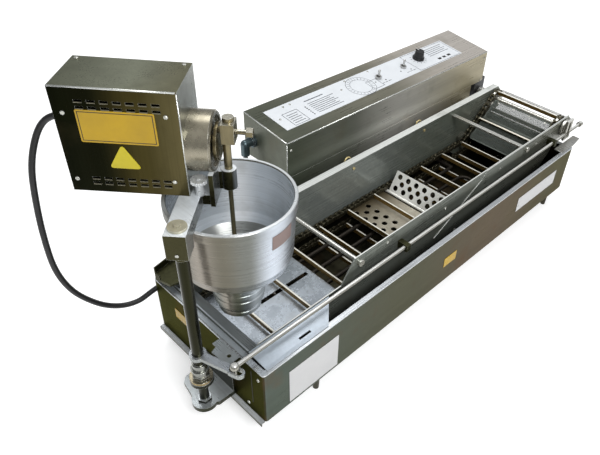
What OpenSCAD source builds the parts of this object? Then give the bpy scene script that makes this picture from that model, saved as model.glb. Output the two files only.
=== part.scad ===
// Tabletop automatic donut fryer: oil kettle, lift-out chain conveyor with turner,
// control box at the back and a swinging batter depositor at the left end.
// X runs along the kettle towards the exit, Y from front to back, Z up. Sizes in mm.

/* [Kettle] */
// outside length of the kettle
tank_l = 880; // [820:1:940]
// outside width of the kettle
tank_w = 263; // [255:1:285]
// height of the kettle walls
tank_h = 105; // [102:1:125]
// kettle sheet thickness
wall = 2; // [1.5:0.1:3]
// outside corner radius of the kettle
corner_r = 5; // [4:0.5:8]
// width of the flat rim that is turned inwards
rim_w = 9; // [7:0.5:11]
// rim sheet thickness
rim_t = 1.6; // [1:0.1:2.4]
// height of the feet
foot_h = 35; // [25:1:50]
// radius of a foot at its top
foot_r = 8; // [6:0.5:11]
// distance of the left feet from the left end
foot_in_left = 113; // [60:1:160]
// distance of the right feet from the right end
foot_in_right = 42; // [25:1:120]
// distance of the feet from the long walls
foot_in_side = 13; // [12:0.5:30]

/* [Control box] */
// left end of the box, from the left end of the kettle
ctl_x = 279; // [255:1:300]
// length of the box
ctl_l = 614; // [600:1:640]
// depth of the box, front to back
ctl_d = 116; // [105:1:140]
// height of the front face
ctl_front = 70; // [60:1:90]
// height of the back face
ctl_back = 84; // [72:1:110]
// height of the box floor above the kettle rim
ctl_lift = 58; // [56:1:75]
// sheet thickness of the box
ctl_t = 1.5; // [1:0.1:2.5]
// sheet thickness of the hanger that carries the box
hanger_t = 3; // [2:0.1:4]
// how far the hanger reaches down the kettle wall
hanger_drop = 70; // [40:1:95]
// length of the white control overlay
overlay_l = 524; // [500:1:560]
// width of the white control overlay
overlay_w = 66; // [62:1:80]
// overlay thickness
overlay_t = 0.6; // [0.4:0.1:1.2]
// radius of the thermostat knob
knob_r = 13; // [10:0.5:18]
// height of the thermostat knob
knob_h = 18; // [14:0.5:26]
// height of a switch lever above the overlay
toggle_h = 16; // [12:0.5:22]
// height of the pull pins above the rim
pin_z = 36; // [33:0.5:40]
// radius of a pull pin
pin_r = 3; // [2.5:0.1:4]
// radius of a pull ring at its wire's centre
ring_r = 8; // [6:0.5:8.5]

/* [Conveyor] */
// distance between the side plates
conv_w = 184; // [176:1:188]
// how far the conveyor lies behind the middle of the kettle
conv_shift = 6.5; // [4:0.5:8]
// side plate thickness
plate_t = 2; // [1.5:0.1:3]
// top edge of the side plates above the rim
plate_top = 48; // [46:0.5:56]
// left end of the tall part of the side plates
tall_x = 222; // [215:1:260]
// width of the flange along the top of the rear plate
flange_w = 13; // [9:0.5:13]
// chain pitch
pitch = 12.7; // [12.6:0.02:12.8]
// roller radius
roller_r = 3.9; // [3.5:0.05:4.1]
// height of a link plate
link_h = 9.6; // [8.6:0.1:10]
// depth of the frying run under the rim
run_depth = 45.5; // [43:0.5:47]
// teeth of the tail sprockets
tail_teeth = 8; // [8:1:10]
// teeth of the drive sprockets
drive_teeth = 9; // [8:1:9]
// drive shaft beyond the right end of the kettle
drive_out = 17; // [14:0.5:20]
// drive shaft height above the rim
drive_z = 25.5; // [25:0.25:27]
// radius of the drive shaft
drive_r = 6; // [5:0.5:7]
// radius of the tail shaft
tail_r = 5; // [4:0.5:6]
// start of the exit slope, before the right end of the kettle
bend_in = 111; // [107:1:116]
// height of a flight bar
flight_h = 9; // [7:0.5:9]
// thickness of a flight bar
flight_t = 3; // [2:0.2:4]
// links from one flight to the next
flight_links = 6; // [6:2:8]
// thickness of the perforated and woven plates
sheet_t = 1.5; // [1:0.1:2]
// turner shaft, from the left end of the kettle
turn_x = 510; // [495:1:525]
// turner shaft below the frying run
turn_drop = 9; // [8.5:0.25:10]
// radius of the turner shaft
turn_r = 3; // [2.5:0.1:3.2]
// reach of the turner flap from its shaft
flap_l = 48; // [40:1:49]
// slope of the raised turner flap
flap_a = 60; // [50:1:70]
// length of the holed part of the fixed plate in front of the turner
bed_l = 62; // [50:1:80]
// length of the drop plate under the depositor
drop_l = 172; // [150:1:200]
// distance from a flight at rest to the turner shaft
flight_lead = 43; // [42:0.5:46]
// radius of the holes in the turner plates
turn_hole_r = 5.6; // [4:0.1:6]

/* [Depositor] */
// swing column to the left of the kettle
col_out = 41; // [38:0.5:48]
// connecting rod in front of the conveyor's front plate, inner faces
rod_in = 16; // [15:0.5:18]
// radius of the column
col_r = 8; // [7:0.25:9]
// radius of the column's bottom journal
journal_r = 6; // [5:0.25:6.5]
// top of the bracket below the rim
tongue_depth = 93; // [85:1:95]
// bracket thickness
tongue_t = 8; // [5:0.5:9]
// angle of the depositor head about the column
head_yaw = -47.7; // [-49:0.1:-46]
// width of the arm
arm_w = 26; // [22:0.5:30]
// thickness of the arm
arm_t = 20; // [14:0.5:24]
// reach of the arm beyond the column
arm_l = 104; // [98:1:108]
// width of the motor box
box_w = 139; // [130:1:150]
// depth of the motor box
box_d = 76; // [76:1:90]
// height of the motor box
box_h = 137; // [125:1:150]
// front face of the motor box, from the column
box_v = 62; // [58:0.5:66]
// motor box sheet thickness
box_t = 1.5; // [1:0.1:2.5]
// hopper axis to the right of the column
hop_u = 42; // [42:0.25:46]
// hopper axis behind the column
hop_v = 97; // [97:0.25:100]
// height of the hopper's rim above the kettle's rim
hop_top = 210; // [205:1:216]
// outside radius of the hopper's rim
hop_r = 86.5; // [80:0.5:87]
// hopper wall thickness
hop_t = 3; // [2:0.1:4]
// height of the joint between bowl and outlet above the rim
neck_z = 72; // [68:1:76]
// lowest point of the outlet above the rim
outlet_z = 11; // [10.5:0.5:18]
// outside radius of the outlet
outlet_r = 41; // [38:0.5:43]
// bore radius of the outlet
bore_r = 25; // [22:0.5:26]
// radius of the gear drum
drum_r = 37.5; // [33:0.5:38]
// length of the gear drum
drum_l = 29; // [27:0.5:29]
// height of the crank above the motor box floor
crank_up = 58; // [52:0.5:66]
// throw of the plunger crank
throw = 16; // [12:0.5:17]
// radius of the plunger rod
plunger_r = 3; // [2.5:0.25:4]
// reach of the swing lever towards the front, column to pin
lever_l = 58; // [54:0.5:60]
// reach of the swing lever to the right, column to pin
lever_x = 18; // [12:0.5:22]
// radius of the connecting rod
rod_r = 3.5; // [3:0.1:4]
// height of the connecting rod above the rim
rod_z = 16; // [15:0.5:18]
// throw of the crank that swings the depositor
rod_throw = 13.5; // [12:0.5:15]
// radius of the cable
cord_r = 4.2; // [3:0.1:5]

/* [Fits] */
// gap between pieces that move past each other
gap = 0.4; // [0.3:0.05:0.6]
// radial clearance of a shaft in its bearing
fit = 0.06; // [0.02:0.01:0.1]

/* [Hidden] */
rim_z = foot_h + tank_h;
col_x = -col_out;
conv_y = (tank_w - conv_w) / 2 + conv_shift;
rod_y = conv_y - rod_in;
col_y = rod_y + lever_l;
drive_x = tank_l + drive_out;
ctl_y = tank_w + 1;
panel_a = atan((ctl_back - ctl_front) / ctl_d);
panel_len = sqrt((ctl_back - ctl_front) * (ctl_back - ctl_front) + ctl_d * ctl_d);
box_z = hop_top + arm_t;
crank_z = box_z + crank_up;
pin_xs = [ctl_x + 137, ctl_x + 354];
conv_y2 = conv_y + conv_w;
end_x = 12;
coupling_r = 15;
hanger_x0 = ctl_x + 8;
hanger_x1 = drive_x - coupling_r - 35;
// the whole model is centred on its box
rod_end_x = drive_x + 68;
x_low = col_x + cos(head_yaw) * (1 - box_w) - sin(head_yaw) * (box_v - box_t);
mid_x = (x_low + rod_end_x) / 2;
mid_y = (ctl_y + ctl_d) / 2;

// chain route: circles with centre, pitch radius, turning sense and length radius
function sprocket_r(n) = pitch / (2 * sin(180 / n));
function length_r(r) = pitch / (2 * asin(pitch / (2 * r)) * PI / 180);
tail_pr = sprocket_r(tail_teeth);
drive_pr = sprocket_r(drive_teeth);
tail_z = -run_depth - tail_pr;
low_z = -run_depth - 2 * tail_pr;
hold_r = 40;
lift_r = 10.5;
bottom_r = 30;
bend_x = tank_l - bend_in;
lift_x = tank_l - 14;
lift_z = drive_z - drive_pr - lift_r - 1.2;
bottom_x = bend_x + 20;
function route(x) = [
  [x, tail_z, tail_pr, 1, length_r(tail_pr)],
  [bend_x, -run_depth + hold_r, hold_r, -1, length_r(hold_r)],
  [drive_x, drive_z, drive_pr, 1, length_r(drive_pr)],
  [lift_x, lift_z, lift_r, -1, length_r(lift_r)],
  [bottom_x, low_z + bottom_r, bottom_r, 1, length_r(bottom_r)]
];
function offset_of(a, b) = a[3] * a[2] - b[3] * b[2];
function dist(a, b) = sqrt((b[0] - a[0]) * (b[0] - a[0]) + (b[1] - a[1]) * (b[1] - a[1]));
function heading(a, b) = atan2(b[1] - a[1], b[0] - a[0]) - asin(offset_of(a, b) / dist(a, b));
function straight(a, b) = sqrt(dist(a, b) * dist(a, b) - offset_of(a, b) * offset_of(a, b));
function wrap(v) = v - 360 * floor(v / 360);
function turn(c, i) = let (n = len(c), a = c[(i + n - 1) % n], b = c[i], d = c[(i + 1) % n])
  b[3] > 0 ? wrap(heading(a, b) - heading(b, d)) : wrap(heading(b, d) - heading(a, b));
function arc_len(c, i) = turn(c, i) * PI / 180 * c[i][4];
function total(c, i = 0) = i == len(c) ? 0 :
  straight(c[i], c[(i + 1) % len(c)]) + arc_len(c, i) + total(c, i + 1);
tail_guess = 49;
links = flight_links * round(total(route(tail_guess)) / pitch / flight_links);
take_up = (total(route(tail_guess)) - links * pitch) / 2;
tail_x = tail_guess + take_up;
loop = route(tail_x);
loop_len = total(loop);
// distance along the route up to the start of a circle's arc, then of its straight
function arc_start(i) = i == 0 ? 0 :
  arc_start(i - 1) + arc_len(loop, i - 1) + straight(loop[i - 1], loop[i]);
function left_of(h) = [-sin(h), cos(h)];
function on_circle(c, h) = [c[0], c[1]] + c[3] * c[2] * left_of(h);
function place_in(i, s) = let (n = len(loop), c = loop[i], h0 = heading(loop[(i + n - 1) % n], c),
    a = arc_len(loop, i), h1 = heading(c, loop[(i + 1) % n]),
    h = h0 - c[3] * s / c[4] * 180 / PI)
  s <= a ? concat(on_circle(c, h), [h]) :
    concat(on_circle(c, h1) + (s - a) * [cos(h1), sin(h1)], [h1]);
function which(s, i = 0) = i == len(loop) - 1 || s < arc_start(i + 1) ? i : which(s, i + 1);
function at(s0) = let (s = s0 - loop_len * floor(s0 / loop_len), i = which(s)) place_in(i, s - arc_start(i));
// at rest one flight stands just before the turner
first_s = arc_len(loop, 0) + turn_x - flight_lead - tail_x;
function link_pos(k) = at(first_s + k * pitch);
slope_a = heading(loop[1], loop[2]);
slope_0 = on_circle(loop[1], slope_a);
// roller angle on a sprocket, to set its teeth
function tooth_phase(i, s) = let (p = at(s)) atan2(p[1] - loop[i][1], p[0] - loop[i][0]);
drive_link = ceil((arc_start(2) - first_s) / pitch);
drive_phase = tooth_phase(2, first_s + drive_link * pitch);
tail_link = ceil((loop_len - first_s) / pitch);
tail_phase = tooth_phase(0, first_s + tail_link * pitch);

chain_in = 10;
chain_half = 5.2;
chain_ys = [conv_y + chain_in, conv_y2 - chain_in];
flight_y0 = chain_ys[0] + chain_half;
flight_y1 = chain_ys[1] - chain_half;

steel = [0.55, 0.54, 0.48];
bright = [0.78, 0.79, 0.8];
dark = [0.2, 0.2, 0.2];
alu = [0.7, 0.71, 0.72];
white = [0.93, 0.93, 0.91];
black = [0.06, 0.06, 0.06];
brass = [0.62, 0.5, 0.28];
olive = [0.36, 0.34, 0.26];

module base() { translate([-mid_x, -mid_y, rim_z]) children(); }
module at_col() { base() translate([col_x, col_y, 0]) children(); }
module head() { at_col() rotate([0, 0, head_yaw]) children(); }
module xcyl(x0, x1, y, z, r) { translate([x0, y, z]) rotate([0, 90, 0]) cylinder(r = r, h = x1 - x0, $fn = 48); }
module ycyl(x, y0, y1, z, r) { translate([x, y1, z]) rotate([90, 0, 0]) cylinder(r = r, h = y1 - y0, $fn = 48); }
// a flat shape drawn in X and Z, from y0 to y0 + t
module yplate(y0, t) { translate([0, y0 + t, 0]) rotate([90, 0, 0]) linear_extrude(t) children(); }
// a flat shape drawn in Y and Z, from x0 to x0 + t
module xplate(x0, t) { translate([x0, 0, 0]) rotate([90, 0, 90]) linear_extrude(t) children(); }
module box(x0, x1, y0, y1, z0, z1) { translate([x0, y0, z0]) cube([x1 - x0, y1 - y0, z1 - z0]); }
module round_rect(l, w, r) {
  translate([r, 0]) square([l - 2 * r, w]);
  translate([0, r]) square([l, w - 2 * r]);
  for (x = [r, l - r], y = [r, w - r]) translate([x, y]) circle(r = r, $fn = 32);
}
module on_panel(x, d, h) {
  base() translate([ctl_x, ctl_y, ctl_lift + ctl_front]) rotate([panel_a, 0, 0]) translate([x, d, h]) children();
}

// Kettle

module kettle() color(steel) base() difference() {
  translate([0, 0, -tank_h]) linear_extrude(tank_h - rim_t) round_rect(tank_l, tank_w, corner_r);
  translate([wall, wall, wall - tank_h]) linear_extrude(tank_h)
    round_rect(tank_l - 2 * wall, tank_w - 2 * wall, corner_r - wall);
}

module rim() color(bright) base() translate([0, 0, -rim_t]) linear_extrude(rim_t) difference() {
  round_rect(tank_l, tank_w, corner_r);
  translate([rim_w, rim_w]) square([tank_l - 2 * rim_w, tank_w - 2 * rim_w]);
}

module feet() color(dark) base()
  for (x = [foot_in_left, tank_l - foot_in_right], y = [foot_in_side, tank_w - foot_in_side])
    translate([x, y, -tank_h - foot_h]) {
      cylinder(r1 = foot_r * 0.62, r2 = foot_r * 0.8, h = foot_h - 4, $fn = 32);
      translate([0, 0, foot_h - 4]) cylinder(r = foot_r, h = 4, $fn = 32);
    }

turn_z = -run_depth - turn_drop;
heat_z = turn_z - turn_r - 11;
heat_r = 4;
heat_y0 = chain_ys[0] + 26;
heat_step = (conv_w - 76) / 3;
heat_x0 = 150;
heat_x1 = bend_x - 92;
head_y = (conv_y2 + plate_t + tank_w - wall) / 2;
module heater() color(dark) base() {
  for (i = [0:3]) xcyl(heat_x0, i == 0 ? heat_x1 + 50 : i == 3 ? heat_x1 + 26 : heat_x1,
    heat_y0 + i * heat_step, heat_z, heat_r);
  for (i = [0, 2]) translate([heat_x0, heat_y0 + (i + 0.5) * heat_step, heat_z]) rotate([0, 0, 90])
    rotate_extrude(angle = 180, $fn = 48) translate([heat_step / 2, 0]) circle(r = heat_r, $fn = 24);
  translate([heat_x1, heat_y0 + 1.5 * heat_step, heat_z]) rotate([0, 0, -90])
    rotate_extrude(angle = 180, $fn = 48) translate([heat_step / 2, 0]) circle(r = heat_r, $fn = 24);
  for (e = [[heat_x1 + 50, heat_y0], [heat_x1 + 26, heat_y0 + 3 * heat_step]]) {
    translate([e[0], e[1], heat_z]) sphere(r = heat_r, $fn = 24);
    ycyl(e[0], e[1], head_y, heat_z, heat_r);
    translate([e[0], head_y, heat_z]) sphere(r = heat_r, $fn = 24);
    translate([e[0], head_y, heat_z]) cylinder(r = heat_r, h = 5 - heat_z, $fn = 24);
  }
  box(heat_x1 + 16, heat_x1 + 60, head_y - 8, tank_w, 4, 26);
}

module thermo_bulb() color(bright) base() {
  xcyl(turn_x + 65, turn_x + 155, tank_w - wall - 5.5, -60, 4);
  for (x = [turn_x + 80, turn_x + 132]) box(x, x + 8, tank_w - wall - 10, tank_w - wall, -66, -54);
  translate([turn_x + 68, tank_w - wall - 5.5, -60]) cylinder(r = 1.2, h = 57, $fn = 24);
}

// Control box

module hanger() color(steel) base() {
  xplate(hanger_x0, hanger_x1 - hanger_x0) {
    translate([tank_w, -hanger_drop]) square([hanger_t, hanger_drop + ctl_lift]);
    translate([tank_w, ctl_lift - hanger_t]) square([ctl_d - 6, hanger_t]);
  }
  for (x = pin_xs) {
    box(x - 9, x + 9, conv_y2 + plate_t + 1, tank_w + hanger_t / 2, pin_z - 16, pin_z - 14);
    difference() {
      box(x - 9, x + 9, conv_y2 + plate_t + 1, conv_y2 + plate_t + 11, pin_z - 14, pin_z + 7);
      ycyl(x, conv_y2, tank_w, pin_z, pin_r + fit);
    }
  }
}

module ctl_outline(e) polygon([[ctl_y + e, ctl_lift + e], [ctl_y + ctl_d - e, ctl_lift + e],
  [ctl_y + ctl_d - e, ctl_lift + ctl_back], [ctl_y + e, ctl_lift + ctl_front]]);
module ctl_shell() color(olive) base() difference() {
  xplate(ctl_x, ctl_l) ctl_outline(0);
  xplate(ctl_x + ctl_t, ctl_l - 2 * ctl_t) {
    ctl_outline(ctl_t);
    translate([0, ctl_back - ctl_front]) ctl_outline(ctl_t);
  }
  for (i = [0:13], z = [22, 34]) box(ctl_x + 90 + i * 32, ctl_x + 112 + i * 32, ctl_y + ctl_d - 5,
    ctl_y + ctl_d + 5, ctl_lift + z, ctl_lift + z + 4);
}

knob_x = ctl_l - 176;
knob_d = panel_len * 0.57;
toggle_xs = [ctl_l - 315, ctl_l - 236];
toggle_d = panel_len * 0.51;
module ctl_panel() color(olive) difference() {
  on_panel(0, 0, 0) cube([ctl_l, panel_len, ctl_t]);
  on_panel(knob_x, knob_d, -1) cylinder(r = 6, h = ctl_t + 2, $fn = 32);
  for (x = toggle_xs) on_panel(x, toggle_d, -1) cylinder(r = 4.6, h = ctl_t + 2, $fn = 32);
}

module overlay() color(white) difference() {
  on_panel(26, (panel_len - overlay_w) / 2 + 3, ctl_t) cube([overlay_l, overlay_w, overlay_t]);
  on_panel(knob_x, knob_d, 0) cylinder(r = 6, h = ctl_t + 2, $fn = 32);
  for (x = toggle_xs) on_panel(x, toggle_d, 0) cylinder(r = 4.6, h = ctl_t + 2, $fn = 32);
}

face_h = ctl_t + overlay_t;
stem_r = 4;
module knob() color(black) on_panel(knob_x, knob_d, face_h + gap) {
  cylinder(r = knob_r, h = 4, $fn = 48);
  translate([0, 0, 4]) cylinder(r1 = knob_r - 2, r2 = knob_r - 3.5, h = knob_h - 4, $fn = 48);
  translate([-1.5, 2, knob_h - 2]) cube([3, knob_r - 4, 2.8]);
  translate([0, 0, -face_h - gap - 14]) cylinder(r = stem_r, h = face_h + gap + 15, $fn = 32);
}

module thermostat() color(bright) on_panel(knob_x, knob_d, -24) difference() {
  union() {
    cylinder(r = 20, h = 24, $fn = 48);
    translate([-14, -26, 0]) cube([28, 52, 14]);
  }
  translate([0, 0, 8]) cylinder(r = stem_r + fit, h = 20, $fn = 32);
}

tog_z = 2.6;
module switch_bodies() color(dark) for (x = toggle_xs) {
  on_panel(x, toggle_d, -20) translate([-7, -13, 0]) cube([14, 26, 20]);
  on_panel(x, toggle_d, face_h) difference() {
    cylinder(r = 7, h = 5, $fn = 6);
    translate([0, 0, -1]) cylinder(r = 4.6, h = 8, $fn = 32);
    translate([-8, 0, tog_z]) rotate([0, 90, 0]) cylinder(r = 1.2 + fit, h = 16, $fn = 24);
  }
}

module toggle(x) color(bright) on_panel(x, toggle_d, face_h + tog_z) {
  translate([-5.6, 0, 0]) rotate([0, 90, 0]) cylinder(r = 1.2, h = 11.2, $fn = 24);
  translate([0, 0, -1.8]) cylinder(r1 = 1.8, r2 = 2.6, h = toggle_h, $fn = 32);
  translate([0, 0, toggle_h - 1.8]) sphere(r = 2.7, $fn = 32);
}
module toggle_1() toggle(toggle_xs[0]);
module toggle_2() toggle(toggle_xs[1]);

module control_gear() color(dark) base() {
  box(ctl_x + 60, ctl_x + 130, ctl_y + 30, ctl_y + 80, ctl_lift + ctl_t, ctl_lift + 48);
  difference() {
    box(ctl_x + 170, ctl_x + 250, ctl_y + 40, ctl_y + 68, ctl_lift + ctl_t, ctl_lift + 24);
    for (i = [0:5]) box(ctl_x + 174 + i * 13, ctl_x + 183 + i * 13, ctl_y + 36, ctl_y + 50, ctl_lift + 14, ctl_lift + 30);
  }
}

module pull_pin(x) color(bright) base() {
  ycyl(x, conv_y2 - 1.5, conv_y2 + plate_t + 17, pin_z, pin_r);
  ycyl(x, conv_y2 + plate_t + 11 + gap, conv_y2 + plate_t + 14, pin_z, pin_r + 2);
  translate([x, conv_y2 + plate_t + 15.5, pin_z + ring_r]) rotate([90, 0, 0])
    rotate_extrude($fn = 48) translate([ring_r, 0]) circle(r = 1.3, $fn = 16);
}
module pull_pin_1() pull_pin(pin_xs[0]);
module pull_pin_2() pull_pin(pin_xs[1]);

// Drive

gear_y = tank_w + 8;
module drive_motor() color(dark) base() {
  difference() {
    box(drive_x - 20, drive_x + 20, gear_y, gear_y + 58, 4, ctl_lift);
    ycyl(drive_x, gear_y - 1, gear_y + 24, drive_z, drive_r + fit);
  }
  xcyl(drive_x - 112, drive_x - 20, gear_y + 32, 29, 21);
  xcyl(drive_x - 120, drive_x - 112, gear_y + 32, 29, 16);
}

// a sprocket with few teeth has them cut low, so that the links clear them
module sprocket2d(n, r, bore) difference() {
  circle(r = n < 9 ? r : r + 1.6, $fn = 64);
  for (i = [0:n - 1]) rotate(i * 360 / n) translate([r, 0]) circle(r = roller_r + (n < 9 ? 2 * gap : gap), $fn = 24);
  circle(r = bore, $fn = 48);
}
module sprocket(x, z, y, n, r, bore, phase) {
  translate([x, y + 2.2, z]) rotate([90, 0, 0]) rotate([0, 0, phase]) linear_extrude(4.4) sprocket2d(n, r, bore);
}
module drive_shaft() color(bright) base() {
  ycyl(drive_x, conv_y - plate_t - 6, gear_y + 22, drive_z, drive_r);
  for (y = chain_ys) {
    sprocket(drive_x, drive_z, y, drive_teeth, drive_pr, drive_r - 0.5, drive_phase);
    ycyl(drive_x, y == chain_ys[0] ? y : y - 12, y == chain_ys[0] ? y + 12 : y, drive_z, drive_r + 4);
  }
}

module coupling() color(bright) base() difference() {
  union() {
    ycyl(drive_x, conv_y2 + plate_t + 4, tank_w + 4, drive_z, 13);
    ycyl(drive_x, conv_y2 + plate_t + 4, conv_y2 + plate_t + 10, drive_z, coupling_r);
  }
  ycyl(drive_x, conv_y2, tank_w + 8, drive_z, drive_r);
}

disc_y = conv_y - plate_t - 9;
module rod_crank() color(bright) base() {
  difference() {
    ycyl(drive_x, disc_y, disc_y + 5, drive_z, rod_throw + 7);
    ycyl(drive_x, disc_y + 3, disc_y + 6, drive_z, drive_r);
  }
  ycyl(drive_x, rod_y + max(2.5, rod_r) + gap, disc_y, drive_z + rod_throw, 4);
}

module tail_shaft() color(bright) base() {
  ycyl(tail_x, conv_y - plate_t - 2, conv_y2 + plate_t + 2, tail_z, tail_r);
  for (y = chain_ys) {
    sprocket(tail_x, tail_z, y, tail_teeth, tail_pr, tail_r - 0.5, tail_phase);
    ycyl(tail_x, y == chain_ys[0] ? y : y - 10, y == chain_ys[0] ? y + 10 : y, tail_z, tail_r + 4);
  }
}

// Chains and flights

link_e = link_h / 2 - 0.4;
module link2d(d) polygon([[-link_e, -1.6], [-1.8, -link_h / 2], [1.8, -link_h / 2], [d / 2, -link_h / 2 + 1],
  [d - 1.8, -link_h / 2], [d + 1.8, -link_h / 2], [d + link_e, -1.6], [d + link_e, 1.6], [d + 1.8, link_h / 2],
  [d - 1.8, link_h / 2], [d / 2, link_h / 2 - 1], [1.8, link_h / 2], [-1.8, link_h / 2], [-link_e, 1.6]]);
module links2d(first) for (k = [first:2:links - 1]) {
  a = link_pos(k);
  b = link_pos(k + 1);
  d = sqrt((b[0] - a[0]) * (b[0] - a[0]) + (b[1] - a[1]) * (b[1] - a[1]));
  translate([a[0], a[1]]) rotate(atan2(b[1] - a[1], b[0] - a[0])) link2d(d);
}
module chain(y) color(dark) base() {
  for (s = [-1, 1]) {
    yplate(y + s * 4.6 - 0.6, 1.2) links2d(0);
    yplate(y + s * 3.2 - 0.6, 1.2) links2d(1);
  }
  yplate(y - 2.6, 5.2) for (k = [0:links - 1]) translate([link_pos(k)[0], link_pos(k)[1]]) circle(r = roller_r, $fn = 24);
}
module chain_front() chain(chain_ys[0]);
module chain_rear() chain(chain_ys[1]);

module flights() color(bright) base() for (k = [0:flight_links:links - 1]) {
  p = link_pos(k);
  translate([p[0], flight_y0, p[1]]) rotate([0, -p[2], 0])
    translate([-flight_t / 2, 0, -flight_h / 2]) cube([flight_t, flight_y1 - flight_y0, flight_h]);
}

// Conveyor frame

low_edge = -run_depth - link_h / 2 - 10;
plate_end = drive_x + 34;
module side2d(left_top) difference() {
  union() {
    polygon([[end_x, left_top - 18], [end_x, low_edge], [heat_x1 + 66, low_edge], [bottom_x - 14, low_z - 6],
      [bottom_x + 12, low_z - 6], [tank_l - 22, -26], [tank_l - 14, 0], [plate_end, 0], [plate_end, plate_top - 14],
      [plate_end - 14, plate_top], [tall_x, plate_top], [tall_x - 28, left_top], [end_x + 18, left_top]]);
    translate([tail_x, tail_z]) circle(r = tail_r + 12, $fn = 48);
    translate([turn_x, turn_z]) circle(r = turn_r + 6, $fn = 48);
  }
  translate([drive_x, drive_z]) circle(r = drive_r + fit, $fn = 48);
  translate([tail_x, tail_z]) circle(r = tail_r + fit, $fn = 48);
  translate([turn_x, turn_z]) circle(r = turn_r + fit, $fn = 48);
}
side_low = 8;
splice_t = 1.2;
tie_x = bend_x - 31;
tie_z = plate_top - 14;
// the exit half of the front plate is lined outside, with a slanting edge
module splice2d() difference() {
  polygon([[turn_x - 70, -36], [turn_x + 65, 32], [turn_x + 78, plate_top - 1], [plate_end - 15, plate_top - 1],
    [plate_end - 1, plate_top - 15], [plate_end - 1, 1], [tank_l - 13, 1], [tank_l - 21, -26], [tank_l - 40, -36]]);
  translate([drive_x, drive_z]) circle(r = drive_r + gap, $fn = 48);
  translate([tie_x, tie_z]) circle(r = 6 + gap, $fn = 48);
}
module side_front() color(steel) base() {
  yplate(conv_y - plate_t, plate_t) side2d(side_low);
  yplate(conv_y - plate_t - splice_t, splice_t) splice2d();
}
module side_rear() color(steel) base() {
  difference() {
    yplate(conv_y2, plate_t) side2d(side_low);
    for (x = pin_xs) ycyl(x, conv_y2 - 1, conv_y2 + plate_t + 1, pin_z, pin_r + gap);
  }
  box(tall_x, plate_end - 14, conv_y2 + plate_t, conv_y2 + plate_t + flange_w, plate_top - plate_t, plate_top);
}

module tie_rods() color(bright) base() {
  ycyl(tall_x + 12, conv_y, conv_y2, tie_z, 4);
  box(tie_x - 5, tie_x + 5, conv_y, conv_y2, tie_z - 2, tie_z + 2);
  for (x = [tall_x + 12, tie_x]) ycyl(x, conv_y - plate_t - 5, conv_y - plate_t, tie_z, 6);
}

module chain_guides() color(white) base() {
  rail_z = -run_depth - link_h / 2 - gap;
  for (y = [conv_y, conv_y2 - 8]) {
    box(tail_x + 40, turn_x - turn_r - 2, y, y + 8, rail_z - 4, rail_z);
    box(turn_x + turn_r + 2, bend_x - 14, y, y + 8, rail_z - 4, rail_z);
    for (i = [1, 3, 4]) {
      c = loop[i];
      n = len(loop);
      h0 = heading(loop[(i + n - 1) % n], c);
      inner = sqrt(c[2] * c[2] - pitch * pitch / 4) - link_h / 2 - gap;
      t = min(8, inner - 1);
      a0 = c[3] > 0 ? h0 + 90 - turn(loop, i) : h0 - 90;
      translate([c[0], y + 8, c[1]]) rotate([90, 0, 0]) rotate([0, 0, a0])
        rotate_extrude(angle = turn(loop, i), $fn = 64) translate([inner - t, 0]) square([t, 8]);
    }
  }
}

bed_x1 = turn_x - flap_l - 5;
drop_x0 = tail_x + tail_pr + flight_h / 2 + 2;
drop_x1 = drop_x0 + drop_l;
drop_z = low_edge + 5;
module drop_plate() color(bright) base() difference() {
  box(drop_x0, drop_x1, conv_y, conv_y2, drop_z - sheet_t, drop_z);
  for (x = [drop_x1 - 112, drop_x1 - 54])
    box(x, x + 46, conv_y + conv_w * 0.57 - 4, conv_y + conv_w * 0.57 + 4, drop_z - 5, drop_z + 5);
}

apron_x = tail_x + 10.3;
module end_plate() color(bright) base() {
  box(end_x - plate_t, end_x, conv_y - plate_t, conv_y2 + plate_t, low_edge, side_low);
  box(2, end_x - plate_t, conv_y - plate_t, conv_y2 + plate_t, 0, sheet_t);
  // apron over the tail sprockets
  yplate(conv_y, conv_w) polygon([[end_x, -4], [end_x, -6], [apron_x, -32], [apron_x + 1, -30.8]]);
}

guard_l = 116;
module feed_guard() color(bright) base() difference() {
  xplate(rim_w + 2, guard_l + conv_y) polygon([[4, 0], [rim_w + 1, 0], [conv_y - plate_t, 4],
    [conv_y - plate_t, 4 + sheet_t], [rim_w + 1, sheet_t], [4, sheet_t]]);
  translate([rim_w + 2 + guard_l, 4, -5]) linear_extrude(20)
    polygon([[-10, -10], [conv_y + 30, -10], [conv_y + 30, conv_y + 30]]);
  box(rim_w + 70, rim_w + 92, 13, 17, -5, 15);
}

module ramp(t0, t1, y0, y1, n0, n1) {
  translate([slope_0[0], 0, slope_0[1]]) rotate([0, -slope_a, 0]) box(t0, t1, y0, y1, n0, n1);
}
ramp_n = -flight_h / 2 - 0.4;
ramp_l = straight(loop[1], loop[2]);
module ramp_bars() color(steel) base() for (t = [ramp_l * 0.05, ramp_l * 0.44])
  ramp(t, t + 10, conv_y, conv_y2, ramp_n - sheet_t - 3, ramp_n - sheet_t);

mesh_y0 = flight_y0 + 2;
mesh_w = flight_y1 - flight_y0 - 4;
module mesh(t0, t1, rows, cols) {
  l = t1 - t0;
  translate([slope_0[0], 0, slope_0[1]]) rotate([0, -slope_a, 0]) translate([t0, mesh_y0, ramp_n - sheet_t])
    linear_extrude(sheet_t) difference() {
      square([l, mesh_w]);
      for (i = [0:rows - 1], j = [0:cols - 1])
        translate([4 + i * (l - 8) / rows + 0.8, 4 + j * (mesh_w - 8) / cols + 0.8])
          square([(l - 8) / rows - 1.6, (mesh_w - 8) / cols - 1.6]);
    }
}
module mesh_panels() color(bright) base() {
  mesh(0, ramp_l * 0.48, 5, 20);
  mesh(ramp_l * 0.5, ramp_l * 0.93, 5, 20);
}

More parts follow.
